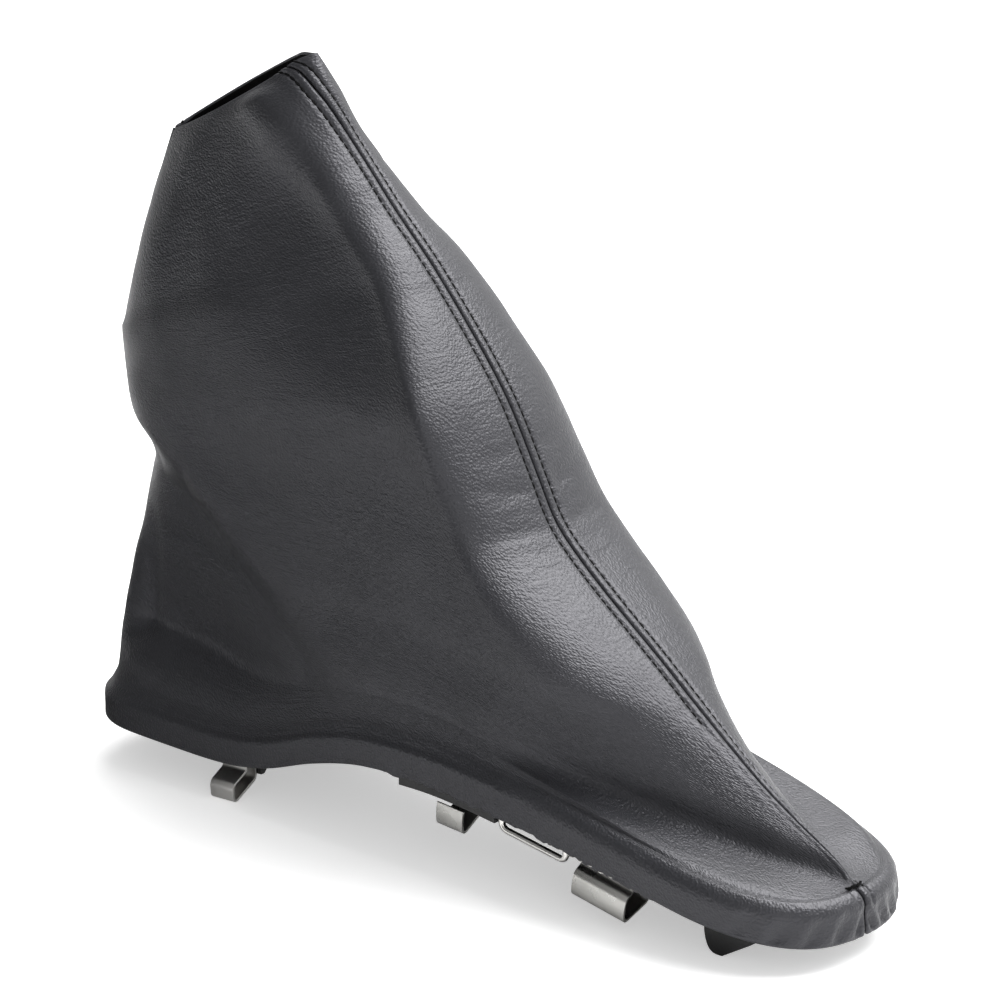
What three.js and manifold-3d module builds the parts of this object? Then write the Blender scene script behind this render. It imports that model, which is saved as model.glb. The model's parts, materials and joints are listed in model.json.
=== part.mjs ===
// Handbrake boot: a sewn leather sleeve stretched over an arched plastic frame that clips into a console.
//
// Millimetres, +Z up. The part stands on its tail clips and nose lugs, which touch Z = 0.
// +X is the nose, the end that lies at the lever's pivot. The mouth, where the grip comes out, leans to -X.
// Left is -Y. The leather's ridge seam lies in the plane Y = 0 up to just below the mouth.

import * as THREE from "three";
import { mergeVertices } from "three/addons/utils/BufferGeometryUtils.js";
import Module from "manifold-3d";

const wasm = await Module();
wasm.setup();

// Driving dimensions of the frame.
const noseX = 141.5;
const tailX = -135;
const rimWidth = 71;
const rimHeight = 12.5;
const noseRound = 50;
const nosePower = 2.6;
const tailRound = 26;
const tailPower = 2.6;
const frameWall = 2;
const flangeWidth = 16.5;
const flangeThickness = 2;
const rimEdgeRadius = 3.5;
const frameLength = noseX - tailX;
const archHeight = 27.4;
// The leather rim's lower edge, from nose to tail: the share of the frame's length from its nose end, and the
// share of the arch's greatest height over the console plane.
const rimArch = [
  [-0.067, 0.164],
  [0.005, 0.274],
  [0.114, 0.46],
  [0.241, 0.693],
  [0.349, 0.876],
  [0.458, 1],
  [0.53, 1],
  [0.584, 0.949],
  [0.642, 0.803],
  [0.707, 0.577],
  [0.765, 0.474],
  [0.855, 0.46],
  [1, 0.493],
  [1.072, 0.511],
].map(([along, height]) => [noseX - along * frameLength, height * archHeight]);

// Driving dimensions of the leather.
const leather = 1.2;
const seamAllowance = 8;
const seamDip = 0.9;
const seamGap = 0.3;
const hemDepth = 12;
const turnUnder = 6;
const seatGap = 0.3;

// The mouth is a flattened oval whose long axis rises towards the nose.
const mouthFrontX = -64.6;
const mouthFrontZ = 222.9;
const mouthWidth = 66.2;
const mouthTilt = 29.8;
const mouthOpen = 15;
// Rise of the right lip over the left one, for each millimetre across.
const mouthLean = 0.42;

// Spring clips and the wire springs between them.
const stripThickness = 0.7;
const stripFold = 1.1;
const clipInset = 2.5;
const clipOut = rimWidth / 2 - clipInset;
const legThickness = 2.4;
const wireRadius = 1;
const wireDrop = 4;
const wireRun = 24;

// The rail is the stretch of bare frame that shows below the leather beside the middle and nose clips.
const railTail = -2;
const railNose = 90;
const railDrop = 3.2;
// Beside the wire spring the rail stands this much further in.
const railStep = 5;

const lugX = 103;
const lugLength = 17;
const lugThickness = 3;
const lugInset = 11.5;

const mix = (a, b, k) => a + (b - a) * k;
const clamp = (v, low, high) => Math.min(high, Math.max(low, v));
const ramp = (v, from, to) => {
  const k = clamp((v - from) / (to - from), 0, 1);
  return k * k * (3 - 2 * k);
};

// A smooth curve through rows of numbers, read at a fractional row index.
function through(rows, at) {
  const last = rows.length - 1;
  const i = clamp(Math.floor(at), 0, last - 1);
  const k = at - i;
  const [a, b, c, d] = [-1, 0, 1, 2].map((n) => rows[clamp(i + n, 0, last)]);
  return b.map((v, j) => {
    const slope = (c[j] - a[j]) / 2;
    const nextSlope = (d[j] - v) / 2;
    const rise = c[j] - v;
    return v + k * (slope + k * (3 * rise - 2 * slope - nextSlope + k * (slope + nextSlope - 2 * rise)));
  });
}

// The rim's lower edge follows the arch, and its upper edge lies one rim height above.
function rimBottom(x) {
  const next = rimArch.findIndex(([px]) => px <= x);
  const i = next < 0 ? rimArch.length - 1 : Math.max(next, 1);
  const [x0, z0] = rimArch[i - 1];
  const [x1, z1] = rimArch[i];
  const before = rimArch[Math.max(i - 2, 0)];
  const after = rimArch[Math.min(i + 1, rimArch.length - 1)];
  const slopeAt = (p, q) => (q[1] - p[1]) / (q[0] - p[0]);
  const m0 = slopeAt(before, rimArch[i]);
  const m1 = slopeAt(rimArch[i - 1], after);
  const span = x1 - x0;
  const k = clamp((x - x0) / span, 0, 1);
  const k2 = k * k;
  const k3 = k2 * k;
  const ends = (2 * k3 - 3 * k2 + 1) * z0 + (3 * k2 - 2 * k3) * z1;
  return ends + (k3 - 2 * k2 + k) * span * m0 + (k3 - k2) * span * m1;
}
const rimTop = (x) => rimBottom(x) + rimHeight;
const rimBow = (x) => rimTop(x) - mix(rimTop(noseX), rimTop(tailX), (noseX - x) / (noseX - tailX));

// A loop's width grows from nothing at its end to full width over a given length.
function roundEnd(distance, power) {
  const rest = 1 - clamp(distance, 0, 1);
  return Math.pow(1 - Math.pow(rest, power), 1 / power);
}

const mouthRearX = mouthFrontX - mouthWidth * Math.cos(THREE.MathUtils.degToRad(mouthTilt));
const mouthRearZ = mouthFrontZ - mouthWidth * Math.sin(THREE.MathUtils.degToRad(mouthTilt));
const edgeX = noseX - rimEdgeRadius;
const tailEdgeX = tailX + rimEdgeRadius;
const halfRim = rimWidth / 2;
const topZ = rimTop(noseX);
const tailZ = rimTop(tailX);

// Rise of the leather's shelf between the rim and the foot of the sleeve.
const shelfPuff = 3;
const sleeveRun = noseX - mouthFrontX;
const sleeveRise = mouthFrontZ - topZ;
const rearRise = mouthRearZ - tailZ;

// Each row is one loop of the sleeve: its front point on the ridge, back from the nose and up from the rim,
// its rear point, in from the tail and up from the rim, its width, the length and power that round its front,
// the same for its rear, how its height climbs along it, and how much of the rim's arch it keeps. All
// distances are shares of the sleeve's run, rise, rear rise and width.
const loopShares = [
  [0.022, 0.006, 0.045, 0.11, 0.901, 1.606, 1.08, 0.38, 2.7, 1.3, 1],
  [0.049, 0.028, 0.056, 0.159, 0.899, 1.465, 1.12, 0.394, 2.7, 1.2, 0.95],
  [0.104, 0.051, 0.065, 0.201, 0.893, 1.268, 1.2, 0.394, 2.7, 1.1, 0.9],
  [0.185, 0.092, 0.076, 0.25, 0.887, 1, 1.35, 0.408, 2.7, 1.05, 0.8],
  [0.265, 0.148, 0.09, 0.299, 0.887, 0.63, 1.5, 0.423, 2.6, 1, 0.62],
  [0.345, 0.212, 0.107, 0.348, 0.91, 0.39, 1.8, 0.451, 2.6, 1, 0.45],
  [0.5, 0.339, 0.127, 0.415, 0.93, 0.239, 2.2, 0.479, 2.4, 1, 0.25],
  [0.577, 0.453, 0.127, 0.47, 0.887, 0.211, 2.1, 0.507, 2.2, 1, 0.1],
  [0.65, 0.581, 0.085, 0.549, 0.873, 0.254, 2.1, 0.521, 2, 1, 0.03],
  [0.762, 0.718, 0, 0.628, 0.803, 0.31, 2.1, 0.507, 2, 1, 0],
  [0.852, 0.808, -0.015, 0.652, 0.662, 0.338, 2, 0.451, 1.9, 1, 0],
  [0.927, 0.892, 0.049, 0.805, 0.479, 0.31, 1.9, 0.38, 1.8, 1, 0],
  [0.97, 0.956, 0.112, 0.915, 0.338, 0.268, 1.9, 0.366, 1.7, 1, 0],
];

function loopFromShares([back, up, inwards, rearUp, wide, round, power, rearRound, rearPower, climb, arch]) {
  const front = [noseX - back * sleeveRun, topZ + up * sleeveRise];
  const rear = [tailX + inwards * rimWidth, tailZ + rearUp * rearRise];
  const [frontLength, rearLength] = [round * rimWidth, rearRound * rimWidth];
  return [...front, ...rear, halfRim * wide, frontLength, power, rearLength, rearPower, climb, arch];
}

const rimLoop = [edgeX, topZ, tailEdgeX, tailZ, halfRim - rimEdgeRadius, noseRound - 2, nosePower,
  tailRound - 2, tailPower, 1, 1];
const mouthLoop = [mouthFrontX, mouthFrontZ, mouthRearX, mouthRearZ, mouthOpen / 2, mouthWidth * 0.42, 1.8,
  mouthWidth * 0.46, 1.5, 1, 0];
const loops = [rimLoop, ...loopShares.map(loopFromShares), mouthLoop];
const topLoop = loops.length - 1;

// The seam leaves the ridge below the mouth and ends on the near lip.
const seamShift = 0.228;
const seamTurn = 12.2;
const seamAt = (loop) => -seamShift * clamp((loop - seamTurn) / (topLoop - seamTurn), 0, 1) ** 2;

// Soft folds: a line in side view, how far it reaches, how deep it presses in, and which panels it is on. Line
// points are shares of the frame's length, from its nose end, and of the mouth's height. Reach and depth are
// shares of foldSize. The line fades out towards its last point where fade is 1.
const foldSize = 10;
const inSideView = (line) => line.map(([along, up]) => [noseX - along * frameLength, up * mouthFrontZ]);
const folds = [
  {
    line: inSideView([[0.975, 0.538], [0.895, 0.507], [0.823, 0.453], [0.729, 0.363]]),
    reach: 0.8, depth: -0.1, sides: [-1, 1], fade: 1,
  },
  {
    line: inSideView([[0.418, 0.462], [0.468, 0.448], [0.512, 0.431]]),
    reach: 1.1, depth: 0.14, sides: [-1, 1], fade: 1,
  },
  {
    line: inSideView([[0.816, 0.897], [0.736, 0.879], [0.671, 0.835]]),
    reach: 1.0, depth: 0.3, sides: [-1], fade: 0,
  },
  {
    line: inSideView([[0.62, 0.754], [0.599, 0.673], [0.562, 0.574]]),
    reach: 1.6, depth: -0.2, sides: [-1], fade: 0,
  },
  {
    line: inSideView([[0.866, 0.134], [0.765, 0.152], [0.671, 0.18]]),
    reach: 1.0, depth: 0.25, sides: [-1, 1], fade: 0,
  },
];

// The tuck under the tail: below this line the leather turns inwards, and it comes out again at the rim.
const tuckLine = inSideView([
  [1.018, 0.507],
  [0.953, 0.503],
  [0.895, 0.489],
  [0.866, 0.471],
  [0.834, 0.453],
  [0.801, 0.422],
  [0.754, 0.372],
  [0.714, 0.332],
  [0.584, 0.215],
]);
const tuckDepth = 6.5;

function nearestOnLine(line, x, z) {
  let best = { distance: Infinity, along: 0 };
  for (let i = 0; i + 1 < line.length; i++) {
    const [ax, az] = line[i];
    const [bx, bz] = line[i + 1];
    const span = (bx - ax) ** 2 + (bz - az) ** 2;
    const k = clamp(((x - ax) * (bx - ax) + (z - az) * (bz - az)) / span, 0, 1);
    const distance = Math.hypot(x - mix(ax, bx, k), z - mix(az, bz, k));
    if (distance < best.distance) best = { distance, along: (i + k) / (line.length - 1) };
  }
  return best;
}

function foldDepth(x, z, side) {
  let depth = 0;
  for (const fold of folds) {
    if (!fold.sides.includes(side)) continue;
    const { distance, along } = nearestOnLine(fold.line, x, z);
    const strength = 1 - fold.fade * along;
    depth += fold.depth * foldSize * strength * Math.exp(-((distance / (fold.reach * foldSize)) ** 2));
  }
  const after = clamp(tuckLine.findIndex(([px]) => px >= x), 1, tuckLine.length - 1);
  const [[x0, z0], [x1, z1]] = [tuckLine[after - 1], tuckLine[after]];
  const below = 0.8 * (mix(z0, z1, clamp((x - x0) / (x1 - x0), 0, 1)) - z);
  const tuck = ramp(below, -0.1 * foldSize, 1.1 * foldSize) * ramp(z - rimTop(x), 0, 7.5 * foldSize);
  return depth + tuckDepth * tuck * (1 - ramp(x, noseX - 0.92 * frameLength, noseX - 0.64 * frameLength));
}

// A point of the smooth sleeve. around runs from 0 on the ridge to 1 (right) or -1 (left) on the underside.
function smoothPoint(loop, around) {
  const wrapped = Math.abs(around) > 1 ? around - 2 * Math.sign(around) : around;
  const [fx, fz, rx, rz, half, ...rest] = through(loops, loop);
  const [frontLength, frontPower, rearLength, rearPower, climb, arch] = rest;
  const share = (1 - Math.cos(Math.PI * Math.abs(wrapped))) / 2;
  const chord = Math.hypot(fx - rx, fz - rz);
  const front = roundEnd((share * chord) / frontLength, frontPower);
  const rear = roundEnd(((1 - share) * chord) / rearLength, rearPower);
  const x = mix(fx, rx, share);
  const y = Math.sign(wrapped) * half * front * rear;
  const lean = mouthLean * y * ramp(loop, topLoop - 3, topLoop);
  const bare = ramp(share, 0.01, 0.07) * (1 - ramp(share, 0.35, 0.6));
  const puff = shelfPuff * bare * Math.sin(Math.PI * Math.sqrt(clamp(loop, 0, 1)));
  return new THREE.Vector3(x, y, mix(fz, rz, share ** climb) + arch * rimBow(x) + lean + puff);
}

function smoothNormal(loop, around) {
  const step = 0.004;
  const up = smoothPoint(Math.min(loop + step, topLoop), around);
  const down = smoothPoint(Math.max(loop - step, 0), around);
  const on = smoothPoint(loop, around + step);
  const back = smoothPoint(loop, around - step);
  return on.sub(back).cross(up.sub(down)).normalize();
}

// A point of the leather's outer face, pressed in by inset along the surface normal.
function sleevePoint(loop, around, inset) {
  const point = smoothPoint(loop, around);
  const blend = ramp(loop, 0, 1.2) * (1 - ramp(loop, topLoop - 0.6, topLoop));
  const side = around > 0 ? 1 : -1;
  const press = foldDepth(point.x, point.z, side) * blend;
  return point.addScaledVector(smoothNormal(loop, around), -(press + inset));
}

// Keeps a point of one panel on its own side of the seams that lie in the middle plane.
function keepOnSide(point, side, loop, around) {
  const straightSeam = Math.abs(around) > 0.5 || seamAt(loop) === 0;
  if (straightSeam) point.y = side * Math.max(side * point.y, seamGap / 2);
  return point;
}

// The frame's outline in plan, with its outward direction, pushed out by offset.
function outlinePoint(around, offset) {
  const at = (v) => {
    const share = (1 - Math.cos(Math.PI * Math.abs(v))) / 2;
    const length = noseX - tailX;
    const front = roundEnd((share * length) / noseRound, nosePower);
    const rear = roundEnd(((1 - share) * length) / tailRound, tailPower);
    return new THREE.Vector2(noseX - share * length, Math.sign(v) * halfRim * front * rear);
  };
  const step = 0.002;
  const wrap = (v) => (Math.abs(v) > 1 ? v - 2 * Math.sign(v) : v);
  const along = at(wrap(around + step)).sub(at(wrap(around - step))).normalize();
  return at(around).add(new THREE.Vector2(along.y, -along.x).multiplyScalar(offset));
}

// The inner edge of the frame's flange, a smaller outline of the same family.
function flangeEdge(around) {
  const share = (1 - Math.cos(Math.PI * Math.abs(around))) / 2;
  const length = noseX - tailX - 2 * flangeWidth;
  const front = roundEnd((share * length) / (noseRound - flangeWidth), 2);
  const rear = roundEnd(((1 - share) * length) / Math.max(tailRound - flangeWidth, 4), 2);
  const half = halfRim - flangeWidth;
  return new THREE.Vector2(noseX - flangeWidth - share * length, Math.sign(around) * half * front * rear);
}

// How far the leather is turned under the rim. Along the rail, and a little beyond its ends, it is cut off.
function turnAt(x) {
  const bare = ramp(x, railTail - 16, railTail - 14) * (1 - ramp(x, railNose + 10, railNose + 12));
  return mix(turnUnder, leather, bare);
}

// The rim rows of the outer face: offset out from the outline and height above the rim's lower edge.
function rimRows(x) {
  const r = rimEdgeRadius;
  const turn = turnAt(x);
  const arc = [0.35, 0.7].map((k) => {
    const angle = (k * Math.PI) / 2;
    return [-r + r * Math.sin(angle), rimHeight - r + r * Math.cos(angle)];
  });
  return [...arc, [0, rimHeight - r], [0, rimHeight * 0.4], [0, 1], [-0.6, 0], [-turn, 0]];
}

// The same rows on the inner face, one leather thickness in.
function rimInnerRows(x) {
  const turn = turnAt(x);
  const lip = turn < leather + 0.1 ? 0.5 : leather;
  const r = rimEdgeRadius - leather;
  const start = rimEdgeRadius;
  const arc = [0.35, 0.7].map((k) => {
    const angle = (k * Math.PI) / 2;
    return [-start + r * Math.sin(angle), rimHeight - start + r * Math.cos(angle)];
  });
  const wall = [rimHeight - start, rimHeight * 0.4, 2, leather].map((z) => [-leather, z]);
  return [...arc, ...wall, [-Math.max(turn, leather + 0.05), lip]];
}

const rimRowCount = rimRows(0).length;

function rimPoint(around, [offset, height]) {
  const plan = outlinePoint(around, offset);
  const side = Math.sign(around);
  return new THREE.Vector3(plan.x, side * Math.max(side * plan.y, seamGap / 2), rimBottom(plan.x) + height);
}

// Columns of a panel, by distance along the loop: a few close to the ridge seam and to the under seam, and
// even ones between them.
const seamColumns = [seamGap / 2, 1.4, 3, seamAllowance, seamAllowance + 1];
const evenColumns = 24;

function columnsOf(side, loop) {
  const seam = loop === null ? 0 : seamAt(loop);
  const samples = 240;
  const around = [];
  const run = [0];
  let before = null;
  for (let i = 0; i <= samples; i++) {
    const v = mix(seam, side, i / samples);
    const point = loop === null ? rimPoint(v, [0, 0]) : smoothPoint(loop, v);
    around.push(v);
    if (before) run.push(run[i - 1] + point.distanceTo(before));
    before = point;
  }
  const total = run[samples];
  const first = seamColumns[seamColumns.length - 1];
  const wanted = [...seamColumns];
  for (let i = 1; i < evenColumns; i++) wanted.push(mix(first, total - first, i / evenColumns));
  wanted.push(...seamColumns.map((d) => total - d).reverse());
  return wanted.map((distance) => {
    const i = clamp(run.findIndex((r) => r > distance), 1, samples);
    return mix(around[i - 1], around[i], clamp((distance - run[i - 1]) / (run[i] - run[i - 1]), 0, 1));
  });
}

const columnCount = seamColumns.length * 2 + evenColumns - 1;

// How many rows of the panel lie between each loop and the next, closest at the foot and at the mouth.
const rowsBetween = [5, 2, 2, 2, 2, 3, 4, 3, 3, 2, 2, 2, 2, 3];
const rowLoops = rowsBetween.flatMap((n, loop) => Array.from({ length: n }, (_, i) => loop + i / n)).concat(topLoop);

// The hem round the mouth is turned in by this share of the last loop.
const mouthStep = Math.hypot(loops[topLoop][0] - loops[topLoop - 1][0], loops[topLoop][1] - loops[topLoop - 1][1]);
const hemLoop = topLoop - hemDepth / mouthStep;

// The seam's dip on the outer face and the turned-back allowance under the inner face, column by column.
function seamProfile(column) {
  const fromEdge = Math.min(column, columnCount - 1 - column);
  return {
    dip: fromEdge === 0 ? seamDip : 0,
    layers: fromEdge < seamColumns.length - 1 ? 2 : 1,
  };
}

// One leather panel as a closed shell: outer face, inner face and the strip round their edge.
function panelGeometry(side) {
  const outer = [];
  const inner = [];
  for (let row = rimRowCount - 1; row >= 0; row--) {
    const columns = columnsOf(side, null);
    outer.push(columns.map((v, c) => {
      const point = rimPoint(v, [0, 0]);
      const [offset, height] = rimRows(point.x)[row];
      return rimPoint(v, [offset - (height > 1 ? seamProfile(c).dip : 0), height]);
    }));
    inner.push(columns.map((v) => {
      const point = rimPoint(v, [0, 0]);
      return rimPoint(v, rimInnerRows(point.x)[row]);
    }));
  }
  for (const loop of rowLoops) {
    const hem = loop > hemLoop ? 2 : 1;
    const columns = columnsOf(side, loop);
    outer.push(columns.map((v, c) => keepOnSide(sleevePoint(loop, v, seamProfile(c).dip), side, loop, v)));
    inner.push(columns.map((v, c) => {
      const layers = loop < 1 ? 1 : Math.max(hem, seamProfile(c).layers);
      const extra = seamProfile(c).dip && layers === 1 ? 0.4 : 0;
      return keepOnSide(sleevePoint(loop, v, leather * layers + extra), side, loop, v);
    }));
  }
  return shellGeometry(outer, inner, side > 0);
}

// Joins two grids of points into one closed body with outward faces.
function shellGeometry(outer, inner, flip) {
  const rows = outer.length;
  const columns = outer[0].length;
  const positions = [...outer.flat(), ...inner.flat()].flatMap((p) => [p.x, p.y, p.z]);
  const at = (face, r, c) => face * rows * columns + r * columns + c;
  const index = [];
  const quad = (a, b, c, d) => {
    if (flip) index.push(a, c, b, a, d, c);
    else index.push(a, b, c, a, c, d);
  };
  // Both faces are split along the diagonal that is the shorter one on the outer face.
  for (let r = 0; r + 1 < rows; r++) {
    for (let c = 0; c + 1 < columns; c++) {
      const rising = outer[r][c].distanceTo(outer[r + 1][c + 1]) < outer[r + 1][c].distanceTo(outer[r][c + 1]);
      for (const face of [0, 1]) {
        const ring = [at(face, r, c), at(face, r + 1, c), at(face, r + 1, c + 1), at(face, r, c + 1)];
        if (face === 1) ring.reverse();
        if (rising === (face === 1)) ring.push(ring.shift());
        quad(...ring);
      }
    }
    quad(at(0, r, 0), at(1, r, 0), at(1, r + 1, 0), at(0, r + 1, 0));
    quad(at(0, r, columns - 1), at(0, r + 1, columns - 1), at(1, r + 1, columns - 1), at(1, r, columns - 1));
  }
  for (let c = 0; c + 1 < columns; c++) {
    quad(at(0, 0, c), at(0, 0, c + 1), at(1, 0, c + 1), at(1, 0, c));
    quad(at(0, rows - 1, c), at(1, rows - 1, c), at(1, rows - 1, c + 1), at(0, rows - 1, c + 1));
  }
  return indexed(positions, index);
}

function indexed(positions, index) {
  const geometry = new THREE.BufferGeometry();
  geometry.setAttribute("position", new THREE.Float32BufferAttribute(positions, 3));
  geometry.setIndex(index);
  return geometry;
}

function toSolid(geometry) {
  const plain = new THREE.BufferGeometry();
  plain.setAttribute("position", geometry.getAttribute("position"));
  plain.setIndex(geometry.index);
  const merged = mergeVertices(plain, 1e-4);
  const vertProperties = new Float32Array(merged.attributes.position.array);
  const triVerts = new Uint32Array(merged.index.array);
  return new wasm.Manifold(new wasm.Mesh({ numProp: 3, vertProperties, triVerts }));
}

function fromSolid(solid) {
  const mesh = solid.getMesh();
  return indexed(Array.from(mesh.vertProperties), Array.from(mesh.triVerts));
}

// The frame's ring: an L section, wall down and flange inwards, swept round the outline.
function frameRing() {
  const out = leather + seatGap;
  const wallFoot = leather + seatGap;
  const top = rimHeight - out;
  const positions = [];
  const stations = [...columnsOf(-1, null).reverse(), ...columnsOf(1, null)];
  const ringSteps = stations.length;
  for (const around of stations) {
    const outerPlan = outlinePoint(around, -out);
    const wallPlan = outlinePoint(around, -(out + frameWall));
    const edgePlan = flangeEdge(around);
    const chamfer = rimEdgeRadius - leather - seatGap;
    const section = [
      [outerPlan, top - chamfer],
      [outlinePoint(around, -(out + chamfer)), top],
      [edgePlan, top],
      [edgePlan, top - flangeThickness],
      [wallPlan, top - flangeThickness],
      [wallPlan, wallFoot],
      [outerPlan, wallFoot],
    ];
    for (const [plan, height] of section) positions.push(plan.x, plan.y, rimBottom(plan.x) + height);
  }
  const count = 7;
  const index = [];
  for (let i = 0; i < ringSteps; i++) {
    const next = (i + 1) % ringSteps;
    for (let j = 0; j < count; j++) {
      const k = (j + 1) % count;
      const [a, b, c, d] = [i * count + j, next * count + j, next * count + k, i * count + k];
      index.push(a, b, c, a, c, d);
    }
  }
  return indexed(positions, index);
}

// A bar that follows the outline between two X values, from one inset and height to another.
function outlineBar(side, fromX, toX, insets, heights) {
  const steps = 24;
  const positions = [];
  for (let i = 0; i <= steps; i++) {
    const x = mix(fromX, toX, i / steps);
    const share = (noseX - x) / (noseX - tailX);
    const around = (side * Math.acos(1 - 2 * share)) / Math.PI;
    const corners = [
      [insets[0], heights[1]],
      [insets[1], heights[1]],
      [insets[1], heights[0]],
      [insets[0], heights[0]],
    ];
    for (const [inset, height] of corners) {
      const plan = outlinePoint(around, -inset);
      positions.push(plan.x, plan.y, rimBottom(plan.x) + height);
    }
  }
  const index = [];
  const quad = (a, b, c, d) => {
    if (side < 0) index.push(a, b, c, a, c, d);
    else index.push(a, c, b, a, d, c);
  };
  for (let i = 0; i < steps; i++) {
    for (let j = 0; j < 4; j++) {
      const k = (j + 1) % 4;
      quad(i * 4 + k, i * 4 + j, (i + 1) * 4 + j, (i + 1) * 4 + k);
    }
  }
  quad(0, 1, 2, 3);
  const end = steps * 4;
  quad(end + 3, end + 2, end + 1, end);
  return indexed(positions, index);
}

// The three kinds of clip. path runs in section, outwards and up from the bottom fold: the fixed leaf on its
// leg first, then the ramp to the bottom fold, then the free leaf outside.
const clipKinds = [
  {
    name: "tail",
    x: noseX - 0.779 * frameLength,
    width: 9.5,
    reach: 9.6,
    rise: 5.2,
    tip: [[0.2, 5.2], [-5.6, 8.4], [-6, 10.2]],
  },
  {
    name: "middle",
    x: noseX - 0.45 * frameLength,
    width: 10,
    reach: 7.2,
    rise: 4.8,
    tip: [[0.8, 3.6], [0.5, 7.4]],
  },
  {
    name: "nose",
    x: noseX - 0.25 * frameLength,
    width: 19.5,
    reach: 9.6,
    rise: 4.2,
    tip: [[0.7, 3.8], [0.4, 7.6], [-1.7, 9.8], [-2.7, 11.8]],
  },
];
const clipBelowRim = { tail: 12.8, middle: 12, nose: 13.2 };
const wireNose = clipKinds[2].x - clipKinds[2].width / 2 - wireRadius - 1;
const wireTail = wireNose - wireRun;
const fixedLeaf = 6.5;

const clipBottom = (kind) => rimBottom(kind.x) - clipBelowRim[kind.name];
const rimAngle = (x) => Math.atan2(rimBottom(x + 6) - rimBottom(x - 6), 12);

// A polyline given thickness on both sides, as a closed outline.
function stripOutline(path, thickness) {
  const left = [];
  const right = [];
  path.forEach((point, i) => {
    const before = path[Math.max(i - 1, 0)];
    const after = path[Math.min(i + 1, path.length - 1)];
    const inDir = point.clone().sub(before);
    const outDir = after.clone().sub(point);
    if (i === 0) inDir.copy(outDir);
    if (i === path.length - 1) outDir.copy(inDir);
    const tangent = inDir.normalize().add(outDir.normalize()).normalize();
    const widen = thickness / 2 / Math.max(tangent.dot(outDir), 0.5);
    const normal = new THREE.Vector2(-tangent.y, tangent.x).multiplyScalar(widen);
    left.push(point.clone().add(normal));
    right.push(point.clone().sub(normal));
  });
  return [...left, ...right.reverse()];
}

// The sharp bottom fold becomes a small arc.
function clipPath(kind) {
  const slope = Math.atan2(kind.rise, kind.reach);
  const [tipX, tipZ] = kind.tip[0];
  const lift = Math.atan2(tipZ, tipX);
  const path = [
    new THREE.Vector2(-kind.reach, kind.rise + fixedLeaf),
    new THREE.Vector2(-kind.reach, kind.rise + 0.8),
    new THREE.Vector2(-kind.reach + 0.9, kind.rise),
  ];
  const start = new THREE.Vector2(-Math.cos(slope), Math.sin(slope)).multiplyScalar(stripFold * 1.6);
  const end = new THREE.Vector2(Math.cos(lift), Math.sin(lift)).multiplyScalar(stripFold * 1.6);
  for (let i = 0; i <= 4; i++) {
    const k = i / 4;
    const a = start.clone().multiplyScalar((1 - k) * (1 - k));
    path.push(a.add(end.clone().multiplyScalar(k * k)));
  }
  for (const [x, z] of kind.tip) path.push(new THREE.Vector2(x, z));
  return path;
}

function clipGeometry(kind) {
  const shape = new THREE.Shape(stripOutline(clipPath(kind), stripThickness));
  return new THREE.ExtrudeGeometry(shape, { depth: kind.width, bevelEnabled: false, steps: 1 });
}

// Puts geometry drawn as outwards, up, along X onto one side of the frame.
function placeOnSide(geometry, side, x, outY, z, width) {
  const placed = geometry.clone();
  const basis = new THREE.Matrix4().makeBasis(
    new THREE.Vector3(0, side, 0),
    new THREE.Vector3(0, 0, 1),
    new THREE.Vector3(side, 0, 0),
  );
  placed.translate(0, 0, -width / 2);
  placed.applyMatrix4(basis);
  placed.applyMatrix4(new THREE.Matrix4().makeRotationY(-rimAngle(x)));
  placed.translate(x, side * outY, z);
  return placed;
}

// The leg stands inside the clip's fixed leaf, from the flange down to just above the ramp.
function clipLeg(kind, side) {
  const inner = kind.reach + stripThickness / 2 + seatGap;
  const low = kind.rise + 1.2;
  const high = clipBelowRim[kind.name] + rimHeight - (leather + seatGap) - flangeThickness / 2;
  const shape = new THREE.Shape([
    new THREE.Vector2(-inner - legThickness, low + 1),
    new THREE.Vector2(-inner - legThickness + 1, low),
    new THREE.Vector2(-inner, low),
    new THREE.Vector2(-inner, high),
    new THREE.Vector2(-inner - legThickness, high),
  ]);
  const width = kind.width + 3;
  const geometry = new THREE.ExtrudeGeometry(shape, { depth: width, bevelEnabled: false });
  return placeOnSide(geometry, side, kind.x, clipOut, clipBottom(kind), width);
}

// A three-cornered lug under the nose flange, with a rounded foot that stands on the console plane.
function noseLug(side) {
  const top = rimTop(lugX) - leather - seatGap - flangeThickness / 2;
  const endTop = rimTop(lugX + lugLength) - leather - seatGap - flangeThickness / 2;
  const foot = 3;
  const shape = new THREE.Shape();
  shape.moveTo(0, top);
  shape.lineTo(0.6, 6);
  shape.quadraticCurveTo(1.4, 0, foot + 2, 0);
  shape.lineTo(foot + 4, 0);
  shape.lineTo(lugLength, 6);
  shape.lineTo(lugLength, endTop);
  shape.closePath();
  const geometry = new THREE.ExtrudeGeometry(shape, { depth: lugThickness, bevelEnabled: false, curveSegments: 5 });
  geometry.rotateX(Math.PI / 2);
  const share = (noseX - lugX - lugLength) / (noseX - tailX);
  const plan = outlinePoint(Math.acos(1 - 2 * share) / Math.PI, -lugInset);
  geometry.translate(lugX, side * plan.y + (side > 0 ? lugThickness : 0), 0);
  return geometry;
}

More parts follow.
